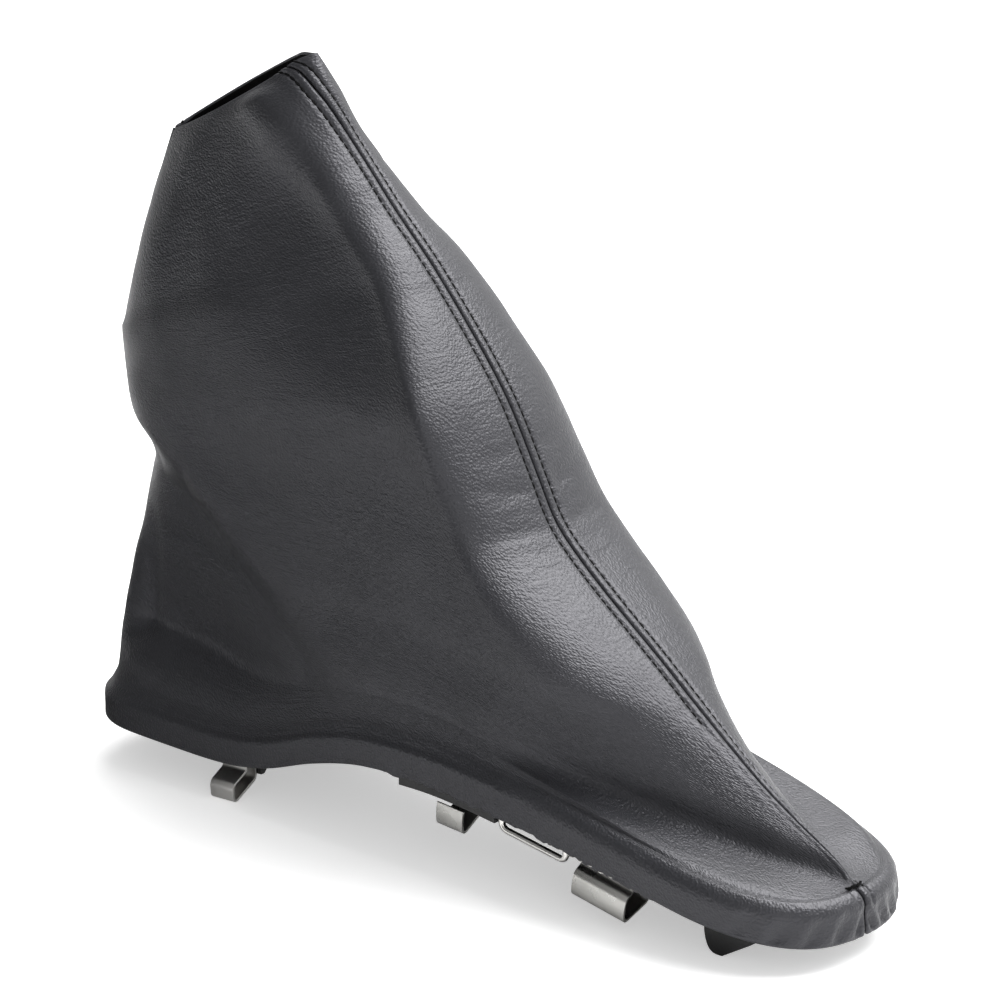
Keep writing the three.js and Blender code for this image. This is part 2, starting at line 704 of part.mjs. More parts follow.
function frameGeometry() {
  let frame = toSolid(frameRing());
  const wall = [leather + seatGap, leather + seatGap + frameWall];
  const deepWall = wall.map((inset) => inset + railStep);
  const underFlange = rimHeight - leather - seatGap - flangeThickness / 2;
  for (const side of [-1, 1]) {
    const outerRail = outlineBar(side, railTail, wireTail - 2 * wireRadius, wall, [-railDrop, rimHeight / 2]);
    const deepRail = outlineBar(side, wireTail - 4 * wireRadius, railNose, deepWall, [-railDrop, underFlange]);
    frame = frame.add(toSolid(outerRail)).add(toSolid(deepRail));
    for (const kind of clipKinds) frame = frame.add(toSolid(clipLeg(kind, side)));
    frame = frame.add(toSolid(noseLug(side)));
  }
  return fromSolid(frame);
}

// A wire spring in front of the deeper rail: out from under the frame's wall, along below the leather's edge
// to the nose clip, and up again.
function wireGeometry(side) {
  const bend = 3;
  const y = side * (halfRim - leather - seatGap - wireRadius);
  const top = (x) => rimBottom(x) + leather;
  const low = (x) => rimBottom(x) - wireDrop;
  const path = new THREE.CurvePath();
  const v = (x, z) => new THREE.Vector3(x, y, z);
  path.add(new THREE.LineCurve3(v(wireTail, top(wireTail)), v(wireTail, low(wireTail) + bend)));
  path.add(new THREE.QuadraticBezierCurve3(
    v(wireTail, low(wireTail) + bend), v(wireTail, low(wireTail)), v(wireTail + bend, low(wireTail + bend))));
  path.add(new THREE.LineCurve3(v(wireTail + bend, low(wireTail + bend)), v(wireNose - bend, low(wireNose - bend))));
  path.add(new THREE.QuadraticBezierCurve3(
    v(wireNose - bend, low(wireNose - bend)), v(wireNose, low(wireNose)), v(wireNose, low(wireNose) + bend)));
  path.add(new THREE.LineCurve3(v(wireNose, low(wireNose) + bend), v(wireNose, top(wireNose))));
  const curve = new THREE.CatmullRomCurve3(path.getSpacedPoints(28));
  const section = new THREE.Shape().absarc(0, 0, wireRadius, 0, 2 * Math.PI);
  return new THREE.ExtrudeGeometry(section, { steps: 30, extrudePath: curve, bevelEnabled: false, curveSegments: 4 });
}

const leatherMaterial = () => new THREE.MeshStandardMaterial({ color: 0x34353a, roughness: 0.5, metalness: 0 });
const plasticMaterial = () => new THREE.MeshStandardMaterial({ color: 0x101011, roughness: 0.45, metalness: 0 });
const steelMaterial = () => new THREE.MeshStandardMaterial({ color: 0xa8a7a1, roughness: 0.35, metalness: 1 });

const group = new THREE.Group();

function addPiece(name, geometry, material) {
  const mesh = new THREE.Mesh(geometry, material);
  mesh.name = name;
  group.add(mesh);
}

addPiece("frame", frameGeometry(), plasticMaterial());
for (const [word, side] of [["left", -1], ["right", 1]]) {
  addPiece(`${word}_leather_panel`, panelGeometry(side), leatherMaterial());
  for (const kind of clipKinds) {
    const clip = placeOnSide(clipGeometry(kind), side, kind.x, clipOut, clipBottom(kind), kind.width);
    addPiece(`${word}_${kind.name}_clip`, clip, steelMaterial());
  }
  addPiece(`${word}_wire_spring`, wireGeometry(side), steelMaterial());
}

// The origin is the middle of the part's box, on the plane that it stands on.
const box = new THREE.Box3().setFromObject(group);
group.position.set(-(box.min.x + box.max.x) / 2, -(box.min.y + box.max.y) / 2, -box.min.z);

export default group;
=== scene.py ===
# %% [markdown]
# # A handbrake boot, from frame to finish
# The real object is a sewn leather sleeve. It is stretched over an arched plastic frame, which clips into the
# console between the seats. The lever stands inside it, and the grip comes out of the mouth at the top.
# The rigid model of it is loaded first and stays where it is. Each later step puts a finished piece in the
# place of a plain one.

# %% Load the rigid model
import json
import math

import bpy
import bmesh
import numpy as np
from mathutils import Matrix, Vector, noise

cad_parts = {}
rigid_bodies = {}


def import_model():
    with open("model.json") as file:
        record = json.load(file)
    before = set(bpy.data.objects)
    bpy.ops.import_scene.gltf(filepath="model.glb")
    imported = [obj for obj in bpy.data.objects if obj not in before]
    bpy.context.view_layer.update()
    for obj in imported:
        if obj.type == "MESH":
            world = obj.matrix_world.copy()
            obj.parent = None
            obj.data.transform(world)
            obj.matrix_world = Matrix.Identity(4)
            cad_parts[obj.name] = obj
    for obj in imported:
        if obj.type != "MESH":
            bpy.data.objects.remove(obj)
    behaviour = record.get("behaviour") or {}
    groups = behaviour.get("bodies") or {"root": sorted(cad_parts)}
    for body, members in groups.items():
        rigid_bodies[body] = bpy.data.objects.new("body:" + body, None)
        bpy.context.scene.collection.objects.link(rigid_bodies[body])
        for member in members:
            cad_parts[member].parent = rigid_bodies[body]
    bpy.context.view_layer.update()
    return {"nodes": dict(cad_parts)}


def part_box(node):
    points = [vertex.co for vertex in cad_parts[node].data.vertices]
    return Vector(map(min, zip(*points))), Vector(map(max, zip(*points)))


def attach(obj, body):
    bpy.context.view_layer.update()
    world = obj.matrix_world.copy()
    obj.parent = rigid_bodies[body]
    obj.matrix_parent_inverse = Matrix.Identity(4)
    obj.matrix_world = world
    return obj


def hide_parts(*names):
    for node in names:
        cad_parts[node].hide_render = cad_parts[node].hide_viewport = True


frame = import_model()
scene = bpy.context.scene
print("nodes:", sorted(frame["nodes"]))

# %% [markdown]
# All the sizes below are in millimetres, in the drawing's own coordinates: the arch of the frame is measured
# from the console plane, and the ridge seam lies in the middle plane. The loaded model is centred on its box,
# so one shift takes a drawn point to its place. The shift comes from the frame, whose nose end is known.

# %% Sizes and the shift
NOSE_X, TAIL_X = 141.5, -135.0
RIM_WIDTH, RIM_HEIGHT = 71.0, 12.5
LEATHER, SEAT_GAP = 1.2, 0.3
MM = 0.001
SIDES = {"left": -1, "right": 1}
frame_low, frame_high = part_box("frame")
SHIFT = np.array([frame_high[0] - (NOSE_X - LEATHER - SEAT_GAP) * MM, 0.0, frame_low[2]])
print("shift, mm:", (SHIFT / MM).round(3))


def place(points):
    """Drawn millimetres to metres in the model's frame."""
    return np.asarray(points, float) * MM + SHIFT


# %% [markdown]
# ## Camera and light
# The camera is a long lens at the photograph's angle: 41.5 degrees round from the side, 18.7 degrees up and
# 1.5 m away. A long lens keeps the two long edges nearly parallel, as the photograph has them.

# %% The camera
AZIMUTH, ELEVATION, DISTANCE = math.radians(41.5), math.radians(18.7), 1.5
AIM = (6.94, 0.0, 103.78)
SENSOR, PHOTO_WIDTH, PIXELS_PER_MM = 36.0, 1001, 3.5


def shown(data, *materials):
    """Puts a camera, a light or a shape into the scene under its own name."""
    piece = bpy.data.objects.new(data.name, data)
    scene.collection.objects.link(piece)
    for material in materials:
        data.materials.append(material)
    return piece


target = Vector(place(AIM))
back = Vector((math.sin(AZIMUTH) * math.cos(ELEVATION), -math.cos(AZIMUTH) * math.cos(ELEVATION),
               math.sin(ELEVATION)))
camera_data = bpy.data.cameras.new("camera")
camera_data.sensor_width = SENSOR
camera_data.lens = SENSOR * PIXELS_PER_MM * DISTANCE / MM / PHOTO_WIDTH
camera_data.clip_start = 0.05
camera = shown(camera_data)
camera.location = target + back * DISTANCE
camera.rotation_euler = (-back).to_track_quat("-Z", "Y").to_euler()
scene.camera = camera
scene.view_settings.view_transform = "Standard"
print("camera at", tuple(round(v, 3) for v in camera.location), "lens", round(camera_data.lens, 1))

# %% [markdown]
# Black leather shows its shape by reflections alone. A wide soft light overhead, a little behind the object,
# draws the bright band along the crown, and a second one further back lights the flat shelf of the nose. The
# band ends where the side wall starts to face the camera, and that edge makes the wall look dark and flat. A
# weak light beside the camera keeps the wall and the clips readable.

# %% The lights


def area_light(name, location, aim, size, power):
    light = bpy.data.lights.new(name, "AREA")
    light.shape = "RECTANGLE"
    light.size, light.size_y = size
    light.energy = power
    lamp = shown(light)
    lamp.location = location
    lamp.rotation_euler = (Vector(aim) - Vector(location)).to_track_quat("-Z", "Y").to_euler()
    print(name, power, "W at", location)


area_light("overhead_light", (0.4, 0.5, 1.2), (0, 0, 0.1), (1.1, 1.0), 28)
area_light("back_light", (-0.35, 0.7, 1.3), (0.05, 0, 0.05), (1.0, 0.8), 15)
area_light("side_light", (1.1, -1.0, 0.7), (0, 0, 0.1), (0.5, 0.9), 2)

# %% [markdown]
# The room glows too, more from the nose's side and from behind, and the leather reflects that as soft greys. The
# camera itself sees plain white there. The room, the finishes and the stitches are all built from nodes, so one
# helper makes a node. It sets the node's options, and then it fills in the inputs, or links them to a socket, or
# to the first output of another node.

# %% The world


def add_node(tree, kind, inputs=None, **options):
    node = tree.nodes.new(kind)
    for name, value in options.items():
        setattr(node, name, value)
    for name, value in (inputs or {}).items():
        if isinstance(value, bpy.types.Node):
            value = value.outputs[0]
        if isinstance(value, bpy.types.NodeSocket):
            tree.links.new(value, node.inputs[name])
        else:
            node.inputs[name].default_value = value
    return node


def calc(tree, operation, *values):
    return add_node(tree, "ShaderNodeMath", dict(enumerate(values)), operation=operation)


def remap(tree, value, start, end, low=0.0, high=1.0, curve="LINEAR"):
    return add_node(tree, "ShaderNodeMapRange", {"Value": value, "From Min": start, "From Max": end, "To Min": low,
                                                 "To Max": high}, interpolation_type=curve)


def noise_at(tree, chart, scale, detail=2.0):
    return add_node(tree, "ShaderNodeTexNoise", {"Vector": chart, "Scale": scale, "Detail": detail})


def object_chart(tree):
    return add_node(tree, "ShaderNodeTexCoord").outputs["Object"]


ROOM_GLOW, MORE_AT_NOSE, MORE_BEHIND = 0.5, 0.42, 0.85
world = bpy.data.worlds.new("studio")
scene.world = world
world.use_nodes = True
tree = world.node_tree
tree.nodes.clear()
ray = add_node(tree, "ShaderNodeLightPath").outputs
seen = calc(tree, "MAXIMUM", ray["Is Camera Ray"], ray["Is Transmission Ray"])
direction = add_node(tree, "ShaderNodeTexCoord").outputs["Generated"]
facing = add_node(tree, "ShaderNodeSeparateXYZ", {0: direction}).outputs
nose_side = calc(tree, "MULTIPLY_ADD", facing["X"], MORE_AT_NOSE, ROOM_GLOW)
room = calc(tree, "MULTIPLY_ADD", calc(tree, "MAXIMUM", facing["Y"], 0.0), MORE_BEHIND, nose_side)
strength = add_node(tree, "ShaderNodeMix", {"Factor": seen, "A": room, "B": 1.0})
backdrop = add_node(tree, "ShaderNodeBackground", {"Color": (1, 1, 1, 1), "Strength": strength})
add_node(tree, "ShaderNodeOutputWorld", {"Surface": backdrop})
print("world nodes:", len(tree.nodes))

# %% [markdown]
# The floor is a pale sheet. It glows a little for the camera only, so that it ends up as white as the
# backdrop, and it still takes the object's shadow. For every other ray its colour is painted dark round the tail:
# a painted shade that the leather reflects, which keeps the recess under the tail nearly black.

# %% The floor
FLOOR_REACH, PAPER, PAPER_GLOW = 6.0, 0.82, 0.45
# Painted shade on the floor, for reflected rays only: its middle, and the distances over which it fades out.
PAINTED_SHADE_MIDDLE, PAINTED_SHADE_FROM, PAINTED_SHADE_TO = (-0.25, -0.06, 0), 0.09, 0.18


def new_material(name, color, roughness, metallic=0.0, **more):
    """A material, its tree and its shader's inputs. More inputs are named with _ for a space."""
    material = bpy.data.materials.new(name)
    material.use_nodes = True
    surface = material.node_tree.nodes["Principled BSDF"].inputs
    values = {"Base Color": (*color, 1), "Roughness": roughness, "Metallic": metallic, **more}
    for label, value in values.items():
        surface[label.replace("_", " ")].default_value = value
    return material, material.node_tree, surface


floor_mesh = bpy.data.meshes.new("floor")
floor_mesh.from_pydata([(FLOOR_REACH * x, FLOOR_REACH * y, 0) for x, y in ((-1, -1), (1, -1), (1, 1), (-1, 1))],
                       [], [(0, 1, 2, 3)])
floor_paint, tree, paper = new_material("floor_paper", (PAPER, PAPER, PAPER), 0.9, Specular_IOR_Level=0.1,
                                        Emission_Color=(1, 1, 1, 1))
seen = add_node(tree, "ShaderNodeLightPath").outputs["Is Camera Ray"]
tree.links.new(calc(tree, "MULTIPLY", seen, PAPER_GLOW).outputs[0], paper["Emission Strength"])
# The painted shade: dark near its middle and pale further off, seen by every ray but the camera's.
from_painted_shade = add_node(tree, "ShaderNodeVectorMath", {0: object_chart(tree), 1: PAINTED_SHADE_MIDDLE}, operation="DISTANCE")
shade = remap(tree, from_painted_shade.outputs["Value"], PAINTED_SHADE_FROM, PAINTED_SHADE_TO, 0.02, 0.85)
tone = add_node(tree, "ShaderNodeMix", {"Factor": seen, "A": shade, "B": (PAPER, PAPER, PAPER, 1)},
                data_type="RGBA")
tree.links.new(tone.outputs["Result"], paper["Base Color"])
floor = shown(floor_mesh, floor_paint)
print("floor:", 2 * FLOOR_REACH, "m wide")

# %% [markdown]
# ## The shape of the sleeve
# The leather starts at the rim of the frame. In side view the rim is an arch, highest in the middle.

# %% The rim
NOSE_ROUND, NOSE_POWER = 50.0, 2.6
TAIL_ROUND, TAIL_POWER = 26.0, 2.6
RIM_EDGE = 4.2
MOUTH_FRONT = np.array([-64.6, 222.9])
MOUTH_WIDTH, MOUTH_TILT, MOUTH_OPEN = 66.2, math.radians(29.8), 15.0
FRAME_LENGTH = NOSE_X - TAIL_X
# The rim's lower edge, in shares of the frame's length from its nose and of the arch's height.
ARCH_HEIGHT = 27.4
RIM_ARCH = np.array([
    (-0.067, 0.164), (0.005, 0.274), (0.114, 0.46), (0.241, 0.693), (0.349, 0.876), (0.458, 1), (0.53, 1),
    (0.584, 0.949), (0.642, 0.803), (0.707, 0.577), (0.765, 0.474), (0.855, 0.46), (1, 0.493), (1.072, 0.511)])
RIM_ARCH = np.stack([NOSE_X - RIM_ARCH[:, 0] * FRAME_LENGTH, RIM_ARCH[:, 1] * ARCH_HEIGHT], -1)


def rim_bottom(x):
    """Height of the leather rim's lower edge over the console plane, on a smooth curve through RIM_ARCH."""
    x = np.asarray(x, float)
    px, pz = RIM_ARCH[:, 0], RIM_ARCH[:, 1]
    i = np.clip(np.searchsorted(-px, -x, side="left"), 1, len(px) - 1)
    before, after = np.maximum(i - 2, 0), np.minimum(i + 1, len(px) - 1)
    start_slope = (pz[i] - pz[before]) / (px[i] - px[before])
    end_slope = (pz[after] - pz[i - 1]) / (px[after] - px[i - 1])
    span = px[i] - px[i - 1]
    k = np.clip((x - px[i - 1]) / span, 0, 1)
    return ((2 * k**3 - 3 * k**2 + 1) * pz[i - 1] + (k**3 - 2 * k**2 + k) * span * start_slope
            + (3 * k**2 - 2 * k**3) * pz[i] + (k**3 - k**2) * span * end_slope)


def rim_top(x):
    return rim_bottom(x) + RIM_HEIGHT


def rim_bow(x):
    """How far the arch rises over a straight line from nose to tail."""
    share = (NOSE_X - x) / FRAME_LENGTH
    return rim_top(x) - (rim_top(NOSE_X) + (rim_top(TAIL_X) - rim_top(NOSE_X)) * share)


print("rim's lower edge, mm:", [round(float(rim_bottom(x)), 1) for x in (TAIL_X, 0, NOSE_X)])

# %% [markdown]
# Every soft change on the leather is made of a few curves: a step, a window, a bell, and a line through points.

# %% Soft curves


def smoothstep(value, start, end):
    k = np.clip((value - start) / (end - start), 0, 1)
    return k * k * (3 - 2 * k)


def window(value, start, full, fade, end):
    """Rises from 0 to 1 between start and full, and falls again between fade and end."""
    return smoothstep(value, start, full) * (1 - smoothstep(value, fade, end))


def bell(value, middle, width):
    return np.exp(-(((value - middle) / width) ** 2))


def unit(vectors):
    return vectors / np.maximum(np.linalg.norm(vectors, axis=-1, keepdims=True), 1e-9)


def through(rows, at):
    """A smooth curve through rows of numbers, read at fractional row indices."""
    last = len(rows) - 1
    i = np.clip(np.floor(at).astype(int), 0, last - 1)
    k = (at - i)[..., None]
    a, b, c, d = (rows[np.clip(i + n, 0, last)] for n in (-1, 0, 1, 2))
    slope, next_slope, rise = (c - a) / 2, (d - b) / 2, c - b
    return b + k * (slope + k * (3 * rise - 2 * slope - next_slope + k * (slope + next_slope - 2 * rise)))


def round_end(distance, power):
    """A loop's half width, from nothing at its end to full width at a distance of 1."""
    return (1 - (1 - np.clip(distance, 0, 1)) ** power) ** (1 / power)


print("a quarter up a step:", smoothstep(0.25, 0, 1))

# %% [markdown]
# Stretched leather is smooth in the large, so the sleeve is described by a few closed loops, from the rim up to
# the mouth. Each has a front point on the ridge, a rear point on the underside, a half width, and a rounding at
# each end. A smooth curve through the rows gives every loop between them.

# %% Loops of the sleeve
MOUTH_REAR = MOUTH_FRONT - MOUTH_WIDTH * np.array([math.cos(MOUTH_TILT), math.sin(MOUTH_TILT)])
HALF_RIM = RIM_WIDTH / 2
TOP_Z, TAIL_Z = float(rim_top(NOSE_X)), float(rim_top(TAIL_X))
SLEEVE_RUN, SLEEVE_RISE = NOSE_X - MOUTH_FRONT[0], MOUTH_FRONT[1] - TOP_Z
REAR_RISE = MOUTH_REAR[1] - TAIL_Z
# The two sides differ a little: the nose's shelf is fuller on the far side, the near side is hollow at its foot
# and drawn in beside the crown, and the mouth's far lip stands higher.
SHELF_PUFF, FOOT_HOLLOW = {-1: 0.6, 1: 3.0}, 1.5
CROWN_PINCH, CROWN_TIGHT = 0.38, 0.6
MOUTH_LEAN, MOUTH_LIFT, MOUTH_TIP_DROP, MOUTH_TIP_REACH = 0.42, 1.5, 0.9, 1.0
# Front point back and up, rear point in and up, half width, front length and power, rear length and power, how
# the height climbs along the loop, and how much of the arch it keeps. All are shares of the sizes above.
LOOP_SHARES = [
    (0.022, 0.006, 0.045, 0.11, 0.901, 1.606, 1.08, 0.38, 2.7, 1.3, 1),
    (0.049, 0.028, 0.056, 0.159, 0.899, 1.465, 1.12, 0.394, 2.7, 1.2, 0.95),
    (0.104, 0.051, 0.065, 0.201, 0.893, 1.268, 1.2, 0.394, 2.7, 1.1, 0.9),
    (0.185, 0.092, 0.076, 0.25, 0.887, 1, 1.35, 0.408, 2.7, 1.05, 0.8),
    (0.265, 0.148, 0.09, 0.299, 0.887, 0.63, 1.5, 0.423, 2.6, 1, 0.62),
    (0.345, 0.212, 0.107, 0.348, 0.91, 0.39, 1.8, 0.451, 2.6, 1, 0.45),
    (0.5, 0.339, 0.127, 0.415, 0.93, 0.239, 2.2, 0.479, 2.4, 1, 0.25),
    (0.577, 0.453, 0.127, 0.47, 0.887, 0.211, 2.1, 0.507, 2.2, 1, 0.1),
    (0.65, 0.581, 0.085, 0.549, 0.873, 0.254, 2.1, 0.521, 2, 1, 0.03),
    (0.762, 0.718, 0, 0.628, 0.803, 0.31, 2.1, 0.507, 2, 1, 0),
    (0.852, 0.808, -0.015, 0.652, 0.662, 0.338, 2, 0.451, 1.9, 1, 0),
    (0.927, 0.892, 0.049, 0.805, 0.479, 0.31, 1.9, 0.38, 1.8, 1, 0),
    (0.97, 0.956, 0.112, 0.915, 0.338, 0.268, 1.9, 0.366, 1.7, 1, 0),
]
LOOP_START = np.array([NOSE_X, TOP_Z, TAIL_X, TAIL_Z, 0, 0, 0, 0, 0, 0, 0])
LOOP_SIZE = np.array([-SLEEVE_RUN, SLEEVE_RISE, RIM_WIDTH, REAR_RISE, HALF_RIM, RIM_WIDTH, 1, RIM_WIDTH, 1, 1, 1])
LOOPS = np.array([
    (NOSE_X - RIM_EDGE, TOP_Z, TAIL_X + RIM_EDGE, TAIL_Z, HALF_RIM - RIM_EDGE, NOSE_ROUND - 2, NOSE_POWER,
     TAIL_ROUND - 2, TAIL_POWER, 1, 1),
    *(LOOP_START + LOOP_SIZE * LOOP_SHARES),
    (*MOUTH_FRONT, *MOUTH_REAR, MOUTH_OPEN / 2, MOUTH_WIDTH * 0.42, 1.8, MOUTH_WIDTH * 0.46, 1.5, 1, 0)])
TOP_LOOP = len(LOOPS) - 1
print("loops:", len(LOOPS), "mouth from", MOUTH_FRONT, "to", MOUTH_REAR.round(1))

# %% [markdown]
# Between the loops, any point of the sleeve is found from its loop and its place around it. A point of the rim
# is found from its place around the frame alone.

# %% Points of the sleeve and the rim
SEAM_SHIFT, SEAM_TURN = 0.225, 11.3


def seam_at(loop):
    """The seam leaves the ridge below the mouth and ends on the near lip."""
    return -SEAM_SHIFT * np.clip((loop - SEAM_TURN) / (TOP_LOOP - SEAM_TURN), 0, 1) ** 2


def smooth_point(loop, around):
    """A point of the sleeve without folds. around is 0 on the ridge, 1 or -1 on the underside."""
    around = np.where(np.abs(around) > 1, around - 2 * np.sign(around), around)
    front_x, front_z, rear_x, rear_z, half, front_len, front_pow, rear_len, rear_pow, climb, arch = np.moveaxis(
        through(LOOPS, loop), -1, 0)
    share = (1 - np.cos(np.pi * np.abs(around))) / 2
    chord = np.hypot(front_x - rear_x, front_z - rear_z)
    tight = CROWN_TIGHT * window(loop, 7.4, 9.2, 11.2, 12.8) * (around < 0)
    front = round_end(share * chord / (front_len * (1 - tight)), front_pow)
    rear = round_end((1 - share) * chord / rear_len, rear_pow)
    tip = np.clip(1 - share / 0.2, 0, 1) ** 2 * smoothstep(loop, TOP_LOOP - 1.2, TOP_LOOP)
    x = front_x + (rear_x - front_x) * share
    pinch = window(loop, 8.8, 10.2, 11.2, 13) * (1 - smoothstep(share, 0.08, 0.55))
    y = np.sign(around) * half * front * rear * (1 - CROWN_PINCH * pinch * (around < 0))
    z = front_z + (rear_z - front_z) * share**climb + arch * rim_bow(x)
    lean = MOUTH_LEAN * y * smoothstep(share, 0, 0.2)
    z = z + (lean + MOUTH_LIFT) * smoothstep(loop, TOP_LOOP - 3, TOP_LOOP)
    z = z - FOOT_HOLLOW * window(share, 0.02, 0.1, 0.3, 0.5) * (around < 0) * bell(loop, 1.4, 0.8)
    bare = window(share, 0.01, 0.07, 0.35, 0.6)
    puff = np.where(around > 0, SHELF_PUFF[1], SHELF_PUFF[-1]) * np.sin(np.pi * np.sqrt(np.clip(loop, 0, 1)))
    return np.stack([x + MOUTH_TIP_REACH * tip, y, z + bare * puff - MOUTH_TIP_DROP * tip], -1)


def outline_point(around, offset):
    """The rim's outline in plan, pushed outwards by offset."""
    def at(v):
        v = np.where(np.abs(v) > 1, v - 2 * np.sign(v), v)
        share = (1 - np.cos(np.pi * np.abs(v))) / 2
        front = round_end(share * FRAME_LENGTH / NOSE_ROUND, NOSE_POWER)
        rear = round_end((1 - share) * FRAME_LENGTH / TAIL_ROUND, TAIL_POWER)
        return np.stack([NOSE_X - share * FRAME_LENGTH, np.sign(v) * HALF_RIM * front * rear], -1)
    along = unit(at(around + 0.002) - at(around - 0.002))
    outward = np.stack([along[..., 1], -along[..., 0]], -1)
    return at(around) + outward * np.asarray(offset)[..., None]


print("crown, mm:", smooth_point(np.array(9.0), np.array(0.0)).round(1))

# %% [markdown]
# ## Folds, dents and gathers
# Each fold is pressed into the smooth sleeve along its own line, seen from the side. The deepest one is under
# the tail, where the sleeve leans over and the leather below it turns inwards. Small ones come where the
# leather is short: creases across the ridge, and gathers where it is pulled round the nose of the frame.

# %% Folds as fields of depth


def near_line(line, x, z):
    """Distance to a line of points in side view, and how far along it, from 0 to 1."""
    best = np.full(x.shape, 1e9)
    along = np.zeros(x.shape)
    count = len(line) - 1
    for i in range(count):
        (ax, az), (bx, bz) = line[i], line[i + 1]
        k = np.clip(((x - ax) * (bx - ax) + (z - az) * (bz - az)) / ((bx - ax) ** 2 + (bz - az) ** 2), 0, 1)
        distance = np.hypot(x - ax - (bx - ax) * k, z - az - (bz - az) * k)
        along = np.where(distance < best, (i + k) / count, along)
        best = np.minimum(best, distance)
    return best, along


# Line in side view, reach, depth, on which sides, and how much it fades towards its last point.
FOLDS = [
    ([(-128, 120), (-106, 113), (-86, 101), (-60, 81)], 8, -2.6, (-1, 1), 0.8),
    ([(26, 103), (12, 100), (0, 96)], 11, 1.4, (-1, 1), 1),
    ([(-30, 179), (-17, 163), (-5, 145), (10, 119), (24, 98)], 6, -1.0, (-1,), 0.3),
    ([(-84, 213), (-70, 207), (-57, 199), (-46, 190)], 9, -3.4, (-1,), 0.4),
    ([(-98, 30), (-70, 34), (-44, 40)], 10, 2.5, (-1, 1), 0),
]
# Below this line the leather turns inwards, a little at the tail's end and more on the side walls.
TUCK_LINE = [(-140, 113), (-122, 112), (-106, 109), (-98, 105), (-89, 101), (-80, 94), (-67, 83), (-56, 74),
             (-20, 48)]
TUCK_DEPTH, WALL_TUCK_DEPTH = 6.5, 11.0
SEAM_CALM = 9.0


def fold_depth(x, z, side, off_seam, sideways):
    """Depth of all folds. A fold of one panel alone starts at a distance from the seam, and so stays off it."""
    depth = np.zeros(x.shape)
    for line, reach, deep, sides, fade in FOLDS:
        if side in sides:
            distance, along = near_line(line, x, z)
            start = 1.0 if len(sides) > 1 else 1 - bell(off_seam, 0, SEAM_CALM)
            depth += deep * (1 - fade * along) * bell(distance, 0, reach) * start
    line_x, line_z = np.array(TUCK_LINE).T
    below = (np.interp(x, line_x, line_z) - z) * 0.8
    above_rim = z - rim_top(x)
    end_tuck = smoothstep(below, -1, 11) * smoothstep(above_rim, 0, 75)
    end_tuck = TUCK_DEPTH * end_tuck * (1 - smoothstep(x, -113, -35))
    wall_tuck = (0.55 * smoothstep(below, -1, 12) + 0.45 * smoothstep(below, 0, 50)) * smoothstep(above_rim, 1, 20)
    wall_tuck = WALL_TUCK_DEPTH * wall_tuck * (1 - smoothstep(x, -100, -20))
    return depth + end_tuck * (1 - sideways) + wall_tuck * sideways


print("folds:", len(FOLDS), "and the tuck under the tail")

# %% [markdown]
# ## The two leather panels
# The leather is cut in two panels, left and right, sewn along the ridge and along the underside. A panel is a
# grid: its columns start at the ridge seam, close together there, and its rows run from the part turned
# under the rim, up the rim's wall and over its edge, to the mouth. The columns are set by real distance along
# each row, so that the seam and its stitches keep their width everywhere.

# %% Columns, and the rows of the rim
STITCH_OFF = 3.1
SEAM_STEPS = [0.15, 0.45, 0.8, 1.2, 1.7, 2.3, 2.8, STITCH_OFF, 3.4, 4.0, 5.0, 6.4, 8.2]
STITCH_COLUMN = SEAM_STEPS.index(STITCH_OFF)
COLUMNS = 261
LOOP_ROWS = 205
RAIL_TAIL, RAIL_NOSE = -2.0, 90.0
TURN_UNDER = 6.0


def run_along(points, axis=0):
    """How far each point lies along its line, from 0 at the line's start."""
    step = np.linalg.norm(np.diff(points, axis=axis), axis=-1)
    return np.concatenate([0 * step.take([0], axis), np.cumsum(step, axis)], axis)


def even_columns(points, parameters):
    """Parameters at set distances from both ends of each row, and the distances themselves."""
    run = run_along(points, 1)
    total = run[:, -1:]
    steps = np.array(SEAM_STEPS)
    middle = np.linspace(0, 1, COLUMNS - 2 * len(steps) + 2)[1:-1]
    inner = steps[-1] + (total - 2 * steps[-1]) * middle
    distance = np.concatenate([np.tile(steps, (len(points), 1)), inner, total - steps[::-1]], axis=1)
    found = np.array([np.interp(distance[r], run[r], parameters[r]) for r in range(len(points))])
    return found, distance, total - distance


def rim_section(x):
    """Offset and height of the rim rows: under the frame, round its lower corner, up the wall, over the edge."""
    bare = window(x, RAIL_TAIL - 6, RAIL_TAIL - 1, RAIL_NOSE + 1, RAIL_NOSE + 6)
    turn = TURN_UNDER + (LEATHER - TURN_UNDER) * bare
    corner = 0.9 - 0.55 * bare
    rows = [(-corner - (turn - corner) * k, 0 * x) for k in (1.0, 0.8, 0.6, 0.4, 0.2)]
    rows += [(-corner * (1 - np.sin(a)), corner * (1 - np.cos(a))) for a in np.linspace(0, np.pi / 2, 5)]
    wall_top = RIM_HEIGHT - RIM_EDGE
    rows += [(0 * x, corner + (wall_top - corner) * k) for k in np.linspace(0, 1, 13)[1:]]
    arc = np.linspace(0, np.pi / 2, 9)[1:-1]
    rows += [(-RIM_EDGE * (1 - np.cos(a)) + 0 * x, wall_top + RIM_EDGE * np.sin(a) + 0 * x) for a in arc]
    return np.array([r[0] for r in rows]), np.array([r[1] for r in rows]), bare


print("columns of a panel:", COLUMNS, "rows of the rim:", len(rim_section(np.zeros(1))[0]))

# %% [markdown]
# The rows of the rim and those of the sleeve make one grid. Where they meet it is rounded, as thick leather is.

# %% Grid of one panel


def grid_normals(points, side):
    """Outward unit normals of a grid of points."""
    normal = unit(np.cross(np.gradient(points, axis=1), np.gradient(points, axis=0)))
    return normal if (normal[..., 1] * side).mean() > 0 else -normal


